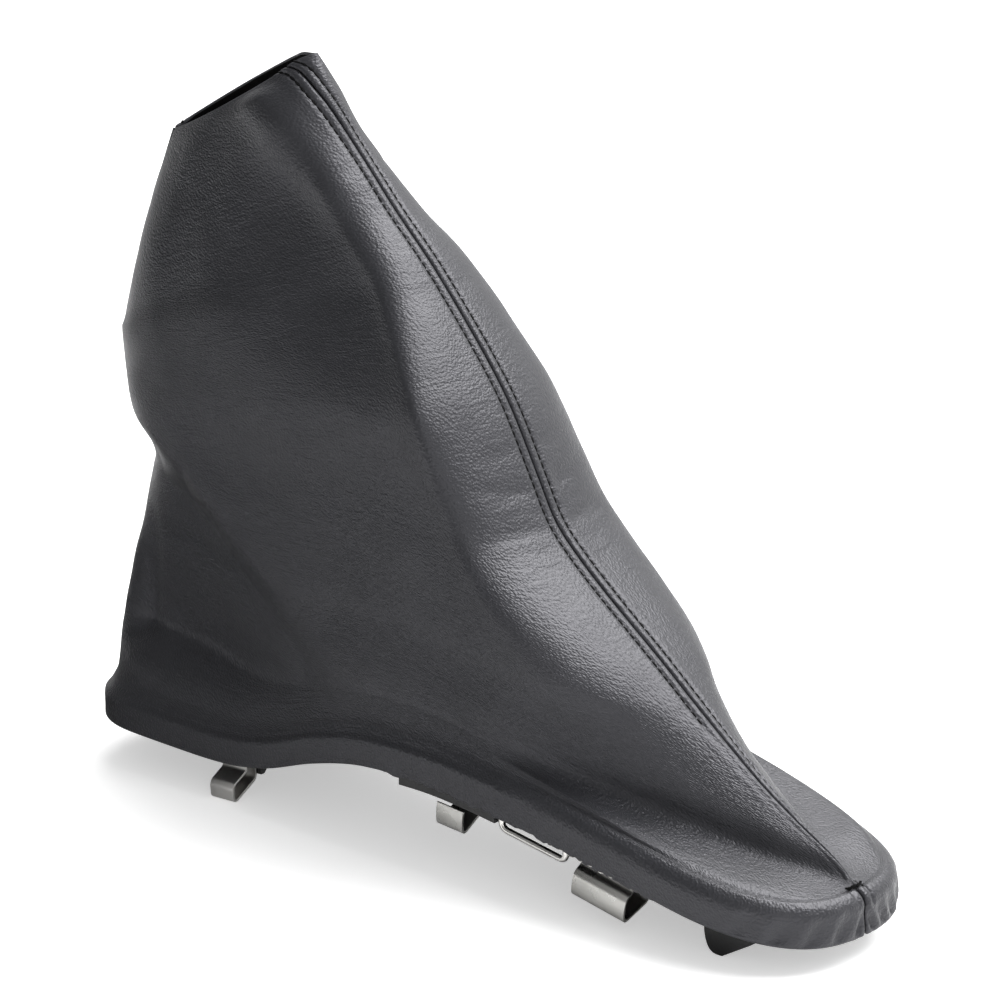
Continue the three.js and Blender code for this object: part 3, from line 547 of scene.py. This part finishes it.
def soften(points, spread):
    """Rounds a grid up and down its columns, each point by a Gaussian of its own spread in millimetres."""
    run = run_along(points)
    room = np.gradient(run, axis=0)
    soft = points.copy()
    for column in range(points.shape[1]):
        gap = run[:, column][:, None] - run[:, column][None, :]
        share = np.exp(-((gap / np.maximum(spread[:, column], 0.02)[:, None]) ** 2) / 2) * room[None, :, column]
        soft[:, column] = share @ points[:, column] / share.sum(1, keepdims=True)
    return soft


def value_noise(points, scale, shift):
    """Smooth noise from -1 to 1 at each point, with the same result on every run."""
    flat = (points / scale + shift).reshape(-1, 3)
    return np.array([noise.noise(Vector(p)) for p in flat]).reshape(points.shape[:-1])


def panel_grid(side):
    """Base points of one panel and what its details need to know about each of them."""
    dense = np.linspace(0, 1, 700)
    around = side * np.clip(dense, 1e-4, 1)[None, :]
    rim_v, rim_from, rim_to = even_columns(outline_point(around, np.zeros_like(around)), around)
    rim_x = outline_point(rim_v[0], np.zeros(COLUMNS))[:, 0]
    offset, height, bare = rim_section(rim_x)
    rim_rows = len(offset)
    plan = outline_point(np.tile(rim_v, (rim_rows, 1)), offset)
    rim_points = np.concatenate([plan, (rim_bottom(plan[..., 0]) + height)[..., None]], axis=-1)
    loops = np.linspace(0, TOP_LOOP, LOOP_ROWS)
    loops = loops - 0.55 * np.sin(np.pi * np.clip(loops, 0, 2) / 2) * (loops < 2)
    seam = seam_at(loops)[:, None]
    rows_v = seam + (side - seam) * dense[None, :]
    rows_v = np.where(np.abs(rows_v) < 1e-4, side * 1e-4, rows_v)
    loop_v, loop_from, loop_to = even_columns(smooth_point(loops[:, None], rows_v), rows_v)
    points = np.concatenate([rim_points, smooth_point(loops[:, None], loop_v)])
    loop = np.concatenate([np.zeros(rim_rows), loops])[:, None] * np.ones(COLUMNS)
    height = np.concatenate([height, np.full(loop_v.shape, RIM_HEIGHT)])
    x = points[..., 0]
    # Three places are rounded, by these spreads: the foot of the sleeve, its shoulder at the tail, the rim's edge.
    foot = window(loop, 0.4, 0.9, 2.4, 4.0) * np.interp(x, [40, 90, 115, 130, 138], [6, 5.5, 4.5, 3.0, 0.8])
    shoulder = smoothstep(height, 6.5, 11) * (1 - smoothstep(loop, 1.0, 2.4)) * (1 - smoothstep(x, 10, 80)) * 4.5
    rim_edge = smoothstep(height, 5, 9) * (1 - smoothstep(loop, 0.1, 0.5)) * np.interp(x, [120, 138], [1.6, 0.3])
    return {
        "side": side,
        "points": soften(points, np.maximum(np.maximum(foot, shoulder), rim_edge)),
        "loop": loop,
        "height": height,
        "from_ridge": np.concatenate([np.tile(rim_from, (rim_rows, 1)), loop_from]),
        "from_under": np.concatenate([np.tile(rim_to, (rim_rows, 1)), loop_to]),
        "bare": np.tile(bare, (len(points), 1)),
        "rim_rows": rim_rows,
    }


print("rows over the rim:", LOOP_ROWS)

# %% [markdown]
# The details are added along the surface's normals: the folds, then the seam with its groove and the shallow
# channels of the stitch rows, then the gathers at the nose and the short creases across the ridge.

# %% Details of one panel
SEAM_GAP = 0.07
# Gathers on each side: distance from the ridge seam and width.
GATHERS = {-1: [(4.5, 1.5), (12, 1.9), (21, 2.2), (31, 2.4), (42, 2.0)],
           1: [(4, 1.2), (9.5, 1.3), (15.5, 1.5), (22, 1.6), (29, 1.8), (38, 2.0)]}
# Creases: place along the ridge, tilt, reach from the seam, depth.
RIDGE_CREASES = [(18.5, 0.15, 24, 0.28), (22, -0.05, 30, 0.5), (25, 0.12, 26, 0.42), (29, -0.12, 30, 0.5),
                 (33.5, 0.08, 22, 0.3), (39, 0.2, 20, 0.2), (-12, 0.2, 22, 0.2), (-42, 0.25, 24, 0.25)]


def seam_relief(distance, stitched):
    """A groove at the seam, the padded edge beside it, the channel of the stitches, and a low swell beyond."""
    channel = -0.42 * bell(distance, STITCH_OFF, 0.5) * stitched
    return (-0.8 * bell(distance, 0, 0.38) + 0.2 * bell(distance, 1.6, 0.8) + channel
            + 0.14 * bell(distance, 4.6, 1.1))


def gather_relief(grid):
    """Pleats that start halfway down the nose's wall, deepen downwards and end just over its lower edge."""
    relief = np.zeros(grid["height"].shape)
    height = grid["height"]
    low = (1 - smoothstep(height, 3, RIM_HEIGHT - 1)) * smoothstep(height, 0.2, 2.2) * (grid["loop"] <= 0)
    for start, width in GATHERS[grid["side"]]:
        lean = start - 0.45 * height
        across = (grid["from_ridge"] - lean) / width
        deep = 1.15 * (1 - smoothstep(start, 30, 60))
        relief += deep * low * (0.45 * bell(across, 1.3, 1) - bell(across, 0, 1))
    return relief


def crease_relief(grid):
    """Short creases that run from the ridge seam outwards, nearly square to it."""
    points, from_ridge, first = grid["points"], grid["from_ridge"], grid["rim_rows"]
    run = run_along(points[:, 0])
    relief = np.zeros(points.shape[:2])
    for x, tilt, reach, deep in RIDGE_CREASES:
        start = np.interp(-x, -points[first:, 0, 0], run[first:])
        across = run[:, None] - start - tilt * from_ridge - 1.2 * np.sin(from_ridge / 5 + x)
        relief -= deep * window(from_ridge, 3, 7, reach * 0.5, reach) * bell(across, 0, 1.3)
    return relief


def finish_panel(grid):
    """Adds the folds and the fine relief. Gives the outer points, the inner points and the outer normals."""
    side, points, loop, height, from_ridge = (grid[k] for k in ("side", "points", "loop", "height", "from_ridge"))
    normal = grid_normals(points, side)
    blend = window(loop, 0, 1.2, TOP_LOOP - 0.6, TOP_LOOP)
    sideways = smoothstep(np.abs(normal[..., 1]), 0.45, 0.98)
    depth = fold_depth(points[..., 0], points[..., 2], side, from_ridge, sideways)
    folded = points - normal * (depth * blend)[..., None]
    normal = grid_normals(folded, side)
    loose = blend * (1 - bell(from_ridge, 0, SEAM_CALM))
    waves = 0.55 * value_noise(folded, 26, 3.1) + 0.16 * value_noise(folded, 9, 7.7)
    stitched = 1 - smoothstep(points[..., 0], 84, 92) if side < 0 else 1
    relief = seam_relief(from_ridge, stitched * (height > 9))
    relief = relief + seam_relief(grid["from_under"], 1.0 * (height > 9))
    relief = relief + gather_relief(grid) + crease_relief(grid) * blend + waves * loose
    under = height < 0.5
    relief = np.where(under & (loop <= 0), np.clip(relief, -0.5, 0.1), relief)
    outer = folded + normal * relief[..., None]
    ragged = 0.9 * value_noise(points, 1.7, 11.3) - 0.3
    outer[..., 2] += np.where((height < 1.5) & (loop <= 0), ragged * grid["bare"], 0)
    seam_layers = 1.0 * (np.minimum(from_ridge, grid["from_under"]) < 8) * (loop > 1)
    hem = 1.0 * (loop > TOP_LOOP - 0.5)
    thick = LEATHER * (1 + seam_layers) * (1 - 0.4 * hem)
    inner = folded - normal * thick[..., None]
    for skin in (outer, inner):
        straight = (np.abs(points[..., 1]) < 4) & (loop < SEAM_TURN + 0.2)
        skin[..., 1] = np.where(straight, side * np.maximum(side * skin[..., 1], SEAM_GAP), skin[..., 1])
    return outer, inner, grid_normals(outer, side)


print("gathers:", {side: len(row) for side, row in GATHERS.items()}, "creases:", len(RIDGE_CREASES))

# %% [markdown]
# The outer and inner faces are joined round their border into one closed skin. The inner face is hardly seen,
# so it keeps every second row and column, and narrow triangles along the border make up the difference. The
# inner face and the cut lower edge show the leather's back, its colour painted nearly black: painted shade for
# the inside of the sleeve. The panel's map holds two real distances in metres, from the ridge seam and along it,
# for the leather's grain.

# %% Skin of one panel


def skin_mesh(name, outer, inner, side, across, along):
    rows, columns = outer.shape[:2]
    coarse = inner[::2, ::2]
    inner_rows, inner_columns = coarse.shape[:2]
    base = rows * columns
    index = np.arange(base).reshape(rows, columns)
    back_index = base + np.arange(inner_rows * inner_columns).reshape(inner_rows, inner_columns)
    quads, backs = (np.stack([grid[:-1, :-1], grid[1:, :-1], grid[1:, 1:], grid[:-1, 1:]], -1).reshape(-1, 4)
                    for grid in (index, back_index))
    backs = backs[:, [0, 3, 2, 1]]
    faces = [tuple(f) for f in np.concatenate([quads, backs])]
    borders = [(grid[0], grid[:, -1], grid[-1, ::-1], grid[::-1, 0]) for grid in (index, back_index)]
    for edge, far in zip(*borders):
        for i in range(len(far) - 1):
            a, b, c = (int(v) for v in edge[2 * i:2 * i + 3])
            p, q = int(far[i]), int(far[i + 1])
            faces += [(a, b, p), (b, c, q), (b, q, p)]
    if side < 0:
        faces = [tuple(reversed(f)) for f in faces]
    mesh = bpy.data.meshes.new(name)
    mesh.from_pydata(place(np.concatenate([outer.reshape(-1, 3), coarse.reshape(-1, 3)])).tolist(), [], faces)
    cut_edge = len(quads) + len(backs) + 3 * (inner_columns - 1)
    # Slot 1 is the leather's back, whose near-black colour is partly painted shade.
    slots = np.zeros(len(mesh.polygons), int)
    slots[len(quads):cut_edge] = 1
    mesh.polygons.foreach_set("material_index", slots)
    chart = np.stack([across, along], -1) * MM
    chart = np.concatenate([chart.reshape(-1, 2), chart[::2, ::2].reshape(-1, 2)])
    corner = np.empty(len(mesh.loops), int)
    mesh.loops.foreach_get("vertex_index", corner)
    mesh.uv_layers.new(name="distance").data.foreach_set("uv", chart[corner].ravel())
    mesh.shade_smooth()
    return mesh


panels, seam_paths = {}, {}
for word, side in SIDES.items():
    grid = panel_grid(side)
    outer, inner, normal = finish_panel(grid)
    run = run_along(outer[:, 60])
    mesh = skin_mesh(f"{word}_leather", outer, inner, side, grid["from_ridge"], run[:, None] + 0 * outer[..., 0])
    panels[word] = shown(mesh)
    seam_paths[word] = (outer, normal, grid)
    area = np.linalg.norm(np.cross(np.diff(outer, axis=0)[:, :-1], np.diff(outer, axis=1)[:-1]), axis=-1).sum()
    print(word, "panel:", len(mesh.polygons), "faces,", round(area * 1e-6, 4), "square metres")

# %% [markdown]
# ## Finishes
# The leather is a thin black hide with a fine printed grain and a satin top coat. Two things make it read as
# leather: a pebble grain of less than a millimetre, and finer creases that run across the pull of the skin,
# stronger in random patches. Both are height only. They live in a shader group with named inputs, so
# another hide needs only other values.

# %% Shader group: hide grain


def new_group(name, kind, inputs, outputs):
    """An empty node group, and what its inputs give. Each socket has a type, or a number for a start."""
    group = bpy.data.node_groups.new(name, kind)
    for way, sockets in (("INPUT", inputs), ("OUTPUT", outputs)):
        for label, value in sockets.items():
            numeric = isinstance(value, float)
            socket = group.interface.new_socket(
                label, in_out=way, socket_type="NodeSocketFloat" if numeric else f"NodeSocket{value}")
            if numeric:
                socket.default_value = value
    return group, add_node(group, "NodeGroupInput").outputs


def hide_grain_group():
    group, given = new_group("hide_grain", "ShaderNodeTree", {
        "Chart": "Vector", "Grain Scale": 1450.0, "Crease Scale": 210.0, "Crease Share": 0.45},
        {"Height": "Float", "Wear": "Float"})
    pebble = add_node(group, "ShaderNodeTexVoronoi", {
        "Vector": given["Chart"], "Scale": given["Grain Scale"], "Smoothness": 0.6}, feature="SMOOTH_F1")
    stretch = add_node(group, "ShaderNodeMapping", {
        "Vector": given["Chart"], "Scale": (0.24, 1.0, 1.0), "Rotation": (0, 0, 0.25)})
    crease = add_node(group, "ShaderNodeTexNoise", {
        "Vector": stretch, "Scale": given["Crease Scale"], "Detail": 5.0, "Roughness": 0.6, "Distortion": 0.2})
    ridge = calc(group, "ABSOLUTE", calc(group, "SUBTRACT", crease, 0.5))
    sharp = remap(group, ridge, 0.0, 0.09, curve="SMOOTHSTEP")
    bend = noise_at(group, given["Chart"], 45.0, 1.0)
    patch = remap(group, bend, 0.38, 0.62, 0.05, 1.0, "SMOOTHSTEP")
    creased = calc(group, "MULTIPLY", sharp, calc(group, "MULTIPLY", patch, given["Crease Share"]))
    add_node(group, "NodeGroupOutput", {"Height": calc(group, "ADD", pebble, creased), "Wear": bend})
    return group


HIDE_GRAIN = hide_grain_group()
print("hide grain nodes:", len(HIDE_GRAIN.nodes))

# %% [markdown]
# A second group gives small smudges and rubbed places to whatever is handled. Steel, plastic and leather all
# use it for their roughness.

# %% Shader group: handling marks


def handling_group():
    group, given = new_group("handling_marks", "ShaderNodeTree", {
        "Chart": "Vector", "Size": 60.0, "Low": 0.3, "High": 0.5}, {"Value": "Float"})
    cloud = noise_at(group, given["Chart"], given["Size"], 3.0)
    spread = remap(group, cloud, 0.3, 0.7, given["Low"], given["High"])
    add_node(group, "NodeGroupOutput", {"Value": spread})
    return group


HANDLING = handling_group()


def add_handling(tree, surface, chart, size, low, high):
    marks = add_node(tree, "ShaderNodeGroup", {"Chart": chart, "Size": size, "Low": low, "High": high},
                     node_tree=HANDLING)
    tree.links.new(marks.outputs["Value"], surface["Roughness"])


def add_bump(tree, surface, height, distance, strength=1.0):
    bump = add_node(tree, "ShaderNodeBump", {"Distance": distance, "Strength": strength, "Height": height})
    tree.links.new(bump.outputs["Normal"], surface["Normal"])


print("handling nodes:", len(HANDLING.nodes))

# %% [markdown]
# The leather reads the panel's own map for its grain, so the creases follow the skin round every curve. Its
# colour is a very dark grey with a trace of blue, a little paler in broad random patches.

# %% Leather
leather, tree, surface = new_material("black_leather", (0.014, 0.0145, 0.017), 0.42, Specular_IOR_Level=0.5,
                                      Specular_Tint=(0.95, 0.94, 1.0, 1), Sheen_Weight=0.03, Sheen_Roughness=0.5)
chart = add_node(tree, "ShaderNodeUVMap", uv_map="distance").outputs["UV"]
grain = add_node(tree, "ShaderNodeGroup", {"Chart": chart}, node_tree=HIDE_GRAIN)
add_bump(tree, surface, grain.outputs["Height"], 0.00022, 0.75)
add_handling(tree, surface, chart, 30.0, 0.37, 0.46)
tone = add_node(tree, "ShaderNodeMix", {
    "Factor": grain.outputs["Wear"], "A": (0.012, 0.0125, 0.0145, 1), "B": (0.017, 0.0175, 0.0205, 1)},
    data_type="RGBA")
tree.links.new(tone.outputs["Result"], surface["Base Color"])
print("leather nodes:", len(tree.nodes))

# %% [markdown]
# The leather's back is a dull split with a short nap, its colour painted nearly black, darker than the face:
# painted shade for the inside of the sleeve. The thread is dull black polyester. The frame is black moulded
# plastic with a fine spark texture. The clips are spring steel, brushed along their bend; the tail clips' copy of
# it is paler, painted light on clips that lie in shade. The wire springs are plain bright wire.

# %% Backing, thread, plastic and steel
# The leather's back: nearly black, its colour partly painted shade for the inside of the sleeve.
back_and_painted_shade, tree, surface = new_material("black_back_painted_shade", (0.003, 0.003, 0.003), 0.95, Specular_IOR_Level=0.1)
add_bump(tree, surface, noise_at(tree, object_chart(tree), 1800.0), 0.0002)

thread, tree, surface = new_material("black_thread", (0.002, 0.002, 0.0022), 0.75, Specular_IOR_Level=0.15)
add_bump(tree, surface, noise_at(tree, object_chart(tree), 2600.0), 0.00008)

plastic, tree, surface = new_material("black_plastic", (0.006, 0.006, 0.0065), 0.45)
chart = object_chart(tree)
add_bump(tree, surface, noise_at(tree, chart, 900.0, 4.0), 0.00008)
add_handling(tree, surface, chart, 70.0, 0.32, 0.46)

STEELS = {}
for name, color, low, high in (("spring_steel", (0.46, 0.455, 0.435), 0.24, 0.36),
                               # The tail clips' steel is the same spring steel painted paler: painted light on
                               # clips that lie in shade.
                               ("tail_clip_steel_painted_light", (0.66, 0.65, 0.63), 0.28, 0.4),
                               ("bright_wire", (0.6, 0.59, 0.57), 0.16, 0.26)):
    steel, tree, surface = new_material(name, color, 0.3, 1.0)
    chart = object_chart(tree)
    brushing = add_node(tree, "ShaderNodeMapping", {"Vector": chart, "Scale": (60.0, 1800.0, 1800.0)})
    add_bump(tree, surface, noise_at(tree, brushing, 1.0, 3.0), 0.00003, 0.5)
    add_handling(tree, surface, chart, 140.0, low, high)
    STEELS[name] = steel

for word in panels:
    panels[word].data.materials.append(leather)
    panels[word].data.materials.append(back_and_painted_shade)
for slot in frame["nodes"]["frame"].material_slots:
    slot.material = plastic
print("finishes:", leather.name, back_and_painted_shade.name, thread.name, plastic.name, *STEELS)

# %% [markdown]
# ## Stitches
# The seam is topstitched: a row of stitches runs on each side of it, three millimetres away, and holds the
# turned-back edges down. The stitches repeat along a path, so Geometry Nodes places them. The path is taken
# from the finished panel, and it carries the surface's own normal, which tells each stitch which way is up.

# %% Stitches along a path


def stitch_tree():
    """A mesh path in, a row of stitches out: a bowed bit of thread at every pitch, square to the surface."""
    tree, given = new_group("topstitch", "GeometryNodeTree", {
        "Geometry": "Geometry", "Pitch": 0.0026, "Stitch Length": 0.0022, "Thread Radius": 0.00037,
        "Rise": 0.00036, "Thread": "Material"}, {"Geometry": "Geometry"})
    sink = calc(tree, "MULTIPLY", given["Rise"], -1.0)
    start, end = (add_node(tree, "ShaderNodeCombineXYZ", {
        "X": calc(tree, "MULTIPLY", given["Stitch Length"], share), "Z": sink}) for share in (-0.5, 0.5))
    top = add_node(tree, "ShaderNodeCombineXYZ", {"Z": given["Rise"]})
    bow = add_node(tree, "GeometryNodeCurveQuadraticBezier", {
        "Resolution": 6, "Start": start, "Middle": top, "End": end})
    section = add_node(tree, "GeometryNodeCurvePrimitiveCircle", {
        "Resolution": 6, "Radius": given["Thread Radius"]})
    solid = add_node(tree, "GeometryNodeCurveToMesh", {"Curve": bow, "Profile Curve": section, "Fill Caps": True})
    up = add_node(tree, "GeometryNodeInputNamedAttribute", {"Name": "surface_normal"}, data_type="FLOAT_VECTOR")
    stand = add_node(tree, "FunctionNodeAlignRotationToVector", {"Vector": up.outputs["Attribute"]}, axis="Z")
    tangent = add_node(tree, "GeometryNodeInputTangent")
    turn = add_node(tree, "FunctionNodeAlignRotationToVector", {"Rotation": stand, "Vector": tangent},
                    axis="X", pivot_axis="Z")
    path = add_node(tree, "GeometryNodeMeshToCurve", {"Mesh": given["Geometry"]})
    spaced = add_node(tree, "GeometryNodeResampleCurve", {"Curve": path, "Length": given["Pitch"]}, mode="LENGTH")
    scatter = add_node(tree, "GeometryNodeInstanceOnPoints", {
        "Points": spaced, "Instance": solid, "Rotation": turn})
    smooth = add_node(tree, "GeometryNodeSetShadeSmooth", {
        "Geometry": add_node(tree, "GeometryNodeRealizeInstances", {"Geometry": scatter})})
    finish = add_node(tree, "GeometryNodeSetMaterial", {"Geometry": smooth, "Material": given["Thread"]})
    add_node(tree, "NodeGroupOutput", {"Geometry": finish})
    return tree


def path_object(name, points, normals):
    """A line of edges with the surface's normal kept at each point."""
    mesh = bpy.data.meshes.new(name)
    mesh.from_pydata(points.tolist(), [(i, i + 1) for i in range(len(points) - 1)], [])
    kept = mesh.attributes.new("surface_normal", "FLOAT_VECTOR", "POINT")
    kept.data.foreach_set("vector", normals.ravel())
    return shown(mesh)


def frozen(piece, name, *materials):
    """Puts a plain mesh of a piece's final shape in its place."""
    mesh = bpy.data.meshes.new_from_object(piece.evaluated_get(bpy.context.evaluated_depsgraph_get()))
    mesh.name = name
    bpy.data.objects.remove(piece)
    return shown(mesh, *materials)


def run_tree(piece, tree, values, name):
    """Runs a Geometry Nodes tree on a piece and gives its result as a plain mesh piece."""
    modifier = piece.modifiers.new(tree.name, "NODES")
    modifier.node_group = tree
    sockets = {s.name: s.identifier for s in tree.interface.items_tree if s.in_out == "INPUT"}
    for label, value in values.items():
        modifier[sockets[label]] = value
    return frozen(piece, name)


TOPSTITCH = stitch_tree()
# How far towards the nose the row beside the ridge runs on each side, and how high the path lies on the leather.
ROW_END, ROW_LIFT = {"left": 84.5, "right": 137.0}, 0.08
stitch_rows = []
for word, (outer, normal, grid) in seam_paths.items():
    for seam, column in (("ridge", STITCH_COLUMN), ("under", -1 - STITCH_COLUMN)):
        line, up = outer[grid["rim_rows"] + 1:-1, column], normal[grid["rim_rows"] + 1:-1, column]
        if seam == "ridge":
            keep = line[:, 0] < ROW_END[word]
            line, up = line[keep], up[keep]
        guide = path_object(f"{word}_{seam}_guide", place(line + up * ROW_LIFT), up)
        row = run_tree(guide, TOPSTITCH, {"Thread": thread}, f"{word}_{seam}_stitches")
        stitch_rows.append(row)
        print(row.name, len(row.data.polygons) // 32, "stitches or so")

# %% [markdown]
# ## Spring clips
# Each clip is one strip of spring steel, bent to a hook. Its fixed leaf stands on a leg of the frame, it runs
# outwards and down to the fold at the bottom, and its free leaf comes up again outside and presses against the
# console's opening. The strip is a path in section, with rounded corners and the thickness of the sheet.

# %% Strips with rounded bends


def rounded(points, radii, steps=7):
    """A polyline whose inner corners are turned into arcs, on a smooth curve of the given reach."""
    points = [np.array(p, float) for p in points]
    path = [points[0]]
    for i in range(1, len(points) - 1):
        before, corner, after = points[i - 1], points[i], points[i + 1]
        reach = min(radii[i - 1], 0.49 * np.linalg.norm(before - corner), 0.49 * np.linalg.norm(after - corner))
        start, end = corner + unit(before - corner) * reach, corner + unit(after - corner) * reach
        for k in np.linspace(0, 1, steps):
            path.append(start * (1 - k) ** 2 + corner * 2 * k * (1 - k) + end * k**2)
    path.append(points[-1])
    return np.array(path)


def thickened(path, thickness):
    """The outline of a strip of the given thickness along a path."""
    steps = unit(np.diff(path, axis=0))
    before, after = np.concatenate([steps[:1], steps]), np.concatenate([steps, steps[-1:]])
    tangent = unit(before + after)
    widen = thickness / 2 / np.maximum((tangent * after).sum(1), 0.5)
    normal = np.stack([-tangent[:, 1], tangent[:, 0]], 1) * widen[:, None]
    return path + normal, path - normal


def rim_angle(x):
    return math.atan2(rim_bottom(x + 6) - rim_bottom(x - 6), 12)


print("slope of the rim at x = 0, degrees:", round(math.degrees(rim_angle(0)), 1))

# %% [markdown]
# Three pairs of clips stand along the frame. A small bevel catches the light, as the real cut edge does.

# %% Clips
EDGE_BEVEL = 0.14


def strip_piece(name, path, thickness, width, side, at, material):
    """A bent strip across the drawing plane (outwards, up), on one side of the frame."""
    left, right = thickened(path, thickness)
    ring = np.concatenate([left, right[::-1]])
    count = len(ring)
    faces = [(i, (i + 1) % count, count + (i + 1) % count, count + i) for i in range(count)]
    half = count // 2
    for base, flip in ((0, True), (count, False)):
        for i in range(half - 1):
            face = (base + i, base + i + 1, base + count - 2 - i, base + count - 1 - i)
            faces.append(tuple(reversed(face)) if flip else face)
    angle = rim_angle(at[0])
    x = side * np.repeat([-width / 2, width / 2], count)
    y, z = side * np.tile(ring[:, 0], 2), np.tile(ring[:, 1], 2)
    turned = np.stack([x * math.cos(angle) - z * math.sin(angle), y, x * math.sin(angle) + z * math.cos(angle)], 1)
    turned += np.array([at[0], side * at[1], at[2]])
    mesh = bpy.data.meshes.new(name)
    mesh.from_pydata(place(turned).tolist(), [], faces)
    work = bmesh.new()
    work.from_mesh(mesh)
    bmesh.ops.recalc_face_normals(work, faces=work.faces)
    edges = [e for e in work.edges if e.calc_face_angle(0) > 0.9]
    bmesh.ops.bevel(work, geom=edges, offset=EDGE_BEVEL * MM, segments=2, affect="EDGES", profile=0.6)
    bmesh.ops.recalc_face_normals(work, faces=work.faces)
    work.to_mesh(mesh)
    work.free()
    mesh.shade_smooth()
    mesh.set_sharp_from_angle(angle=math.radians(35))
    return shown(mesh, material)


CLIP_OUT, STRIP, FIXED_LEAF = HALF_RIM - 2.5, 0.7, 6.5
# Name, place along the frame, width, how far in the ramp goes, how far it rises, depth below the rim, free leaf
# from the fold upwards, and how far each of its bends reaches.
CLIPS = [
    ("tail", NOSE_X - 0.779 * FRAME_LENGTH, 9.5, 9.6, 5.2, 12.8, [(0.2, 5.2), (-5.6, 8.4), (-6, 10.2)],
     [1.8, 1.6, 1.6]),
    ("middle", NOSE_X - 0.45 * FRAME_LENGTH, 10.0, 7.2, 4.8, 12.0, [(0.8, 3.6), (0.5, 7.4)], [2.2, 2.2]),
    ("nose", NOSE_X - 0.25 * FRAME_LENGTH, 19.5, 9.6, 4.2, 13.2, [(0.7, 3.8), (0.4, 7.8), (-2.2, 9.4),
                                                                  (-2.8, 11.8)], [2.0, 2.4, 1.5, 1.2]),
]
clips = {}
for name, x, width, reach, rise, below, free, radii in CLIPS:
    bottom = float(rim_bottom(x)) - below
    path = rounded([(-reach, rise + FIXED_LEAF), (-reach, rise), (0, 0)] + free, [1.3] + radii)
    # The tail clips take the paler copy of the steel, painted light.
    metal = STEELS["tail_clip_steel_painted_light" if name == "tail" else "spring_steel"]
    for word, side in SIDES.items():
        clips[f"{word}_{name}"] = strip_piece(f"{word}_{name}_spring", path, STRIP, width, side,
                                              (x, CLIP_OUT, bottom), metal)
print("clips:", {k: len(v.data.polygons) for k, v in clips.items()})

# %% [markdown]
# The wire springs are a round wire of two millimetres. It comes out from under the frame's wall, runs along a
# little below the leather's edge, and turns up again beside the wide clip. A curve with a round bevel gives it
# a smooth bend, and it is turned into a mesh at the end.

# %% Wire springs
WIRE_RADIUS, WIRE_DROP, WIRE_RUN = 1.0, 4.0, 24.0


def tube_piece(name, path, radius, material):
    curve = bpy.data.curves.new(name, "CURVE")
    curve.dimensions = "3D"
    curve.bevel_depth = radius * MM
    curve.bevel_resolution = 5
    curve.use_fill_caps = True
    spline = curve.splines.new("POLY")
    spline.points.add(len(path) - 1)
    for point, where in zip(spline.points, place(path)):
        point.co = (*where, 1)
    tube = frozen(shown(curve), name, material)
    tube.data.shade_smooth()
    return tube


wires = {}
wire_to = CLIPS[2][1] - CLIPS[2][2] / 2 - WIRE_RADIUS - 1
wire_from = wire_to - WIRE_RUN
inset = HALF_RIM - LEATHER - SEAT_GAP - WIRE_RADIUS
for word, side in SIDES.items():
    corners = [(x, side * inset, float(rim_bottom(x)) + up) for x, up in (
        (wire_from, LEATHER), (wire_from, -WIRE_DROP), (wire_to, -WIRE_DROP), (wire_to, LEATHER))]
    wires[word] = tube_piece(f"{word}_wire", rounded(corners, [3.0, 3.0], 10), WIRE_RADIUS, STEELS["bright_wire"])
print("wires:", {k: len(v.data.polygons) for k, v in wires.items()})

# %% [markdown]
# ## Staples
# Along the bare rail the leather isn't turned under. It is cut off, and fine wire staples beside the wide clip
# hold its ragged edge to the plastic. A staple is a stitch of wire, so the same tree makes them.

# %% Staples
STAPLED, STAPLE_HEIGHT, STAPLE_LIFT = (56, 80), 1.2, 0.05
staples = []
for word, (outer, normal, grid) in seam_paths.items():
    row = int(np.argmin(np.abs(grid["height"][:grid["rim_rows"], 0] - STAPLE_HEIGHT)))
    line, up = outer[row], normal[row]
    keep = (line[:, 0] > STAPLED[0]) & (line[:, 0] < STAPLED[1])
    guide = path_object(f"{word}_staple_guide", place(line[keep] + up[keep] * STAPLE_LIFT), up[keep])
    pins = run_tree(guide, TOPSTITCH, {
        "Pitch": 0.0034, "Stitch Length": 0.0018, "Thread Radius": 0.0002, "Rise": 0.0004,
        "Thread": STEELS["bright_wire"]}, f"{word}_staples")
    staples.append(pins)
print("staples:", [len(p.data.polygons) for p in staples])

# %% [markdown]
# ## Putting the pieces in place
# Every piece rides on the one rigid body. A finished piece replaces the plain solid that stood for it.

# %% Rides and replacements
for word in SIDES:
    panel = panels[word]
    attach(panel, "root")
    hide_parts(f"{word}_leather_panel")
    for name in ("tail", "middle", "nose"):
        clip = clips[f"{word}_{name}"]
        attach(clip, "root")
        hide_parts(f"{word}_{name}_clip")
    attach(wires[word], "root")
    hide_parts(f"{word}_wire_spring")
for row in stitch_rows:
    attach(row, "root")
for pins in staples:
    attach(pins, "root")
print("on the body:", len(panels), "panels,", len(clips), "clips,", len(wires), "wires,", len(stitch_rows), "rows")

# %% [markdown]

# %% The end
bpy.context.view_layer.update()
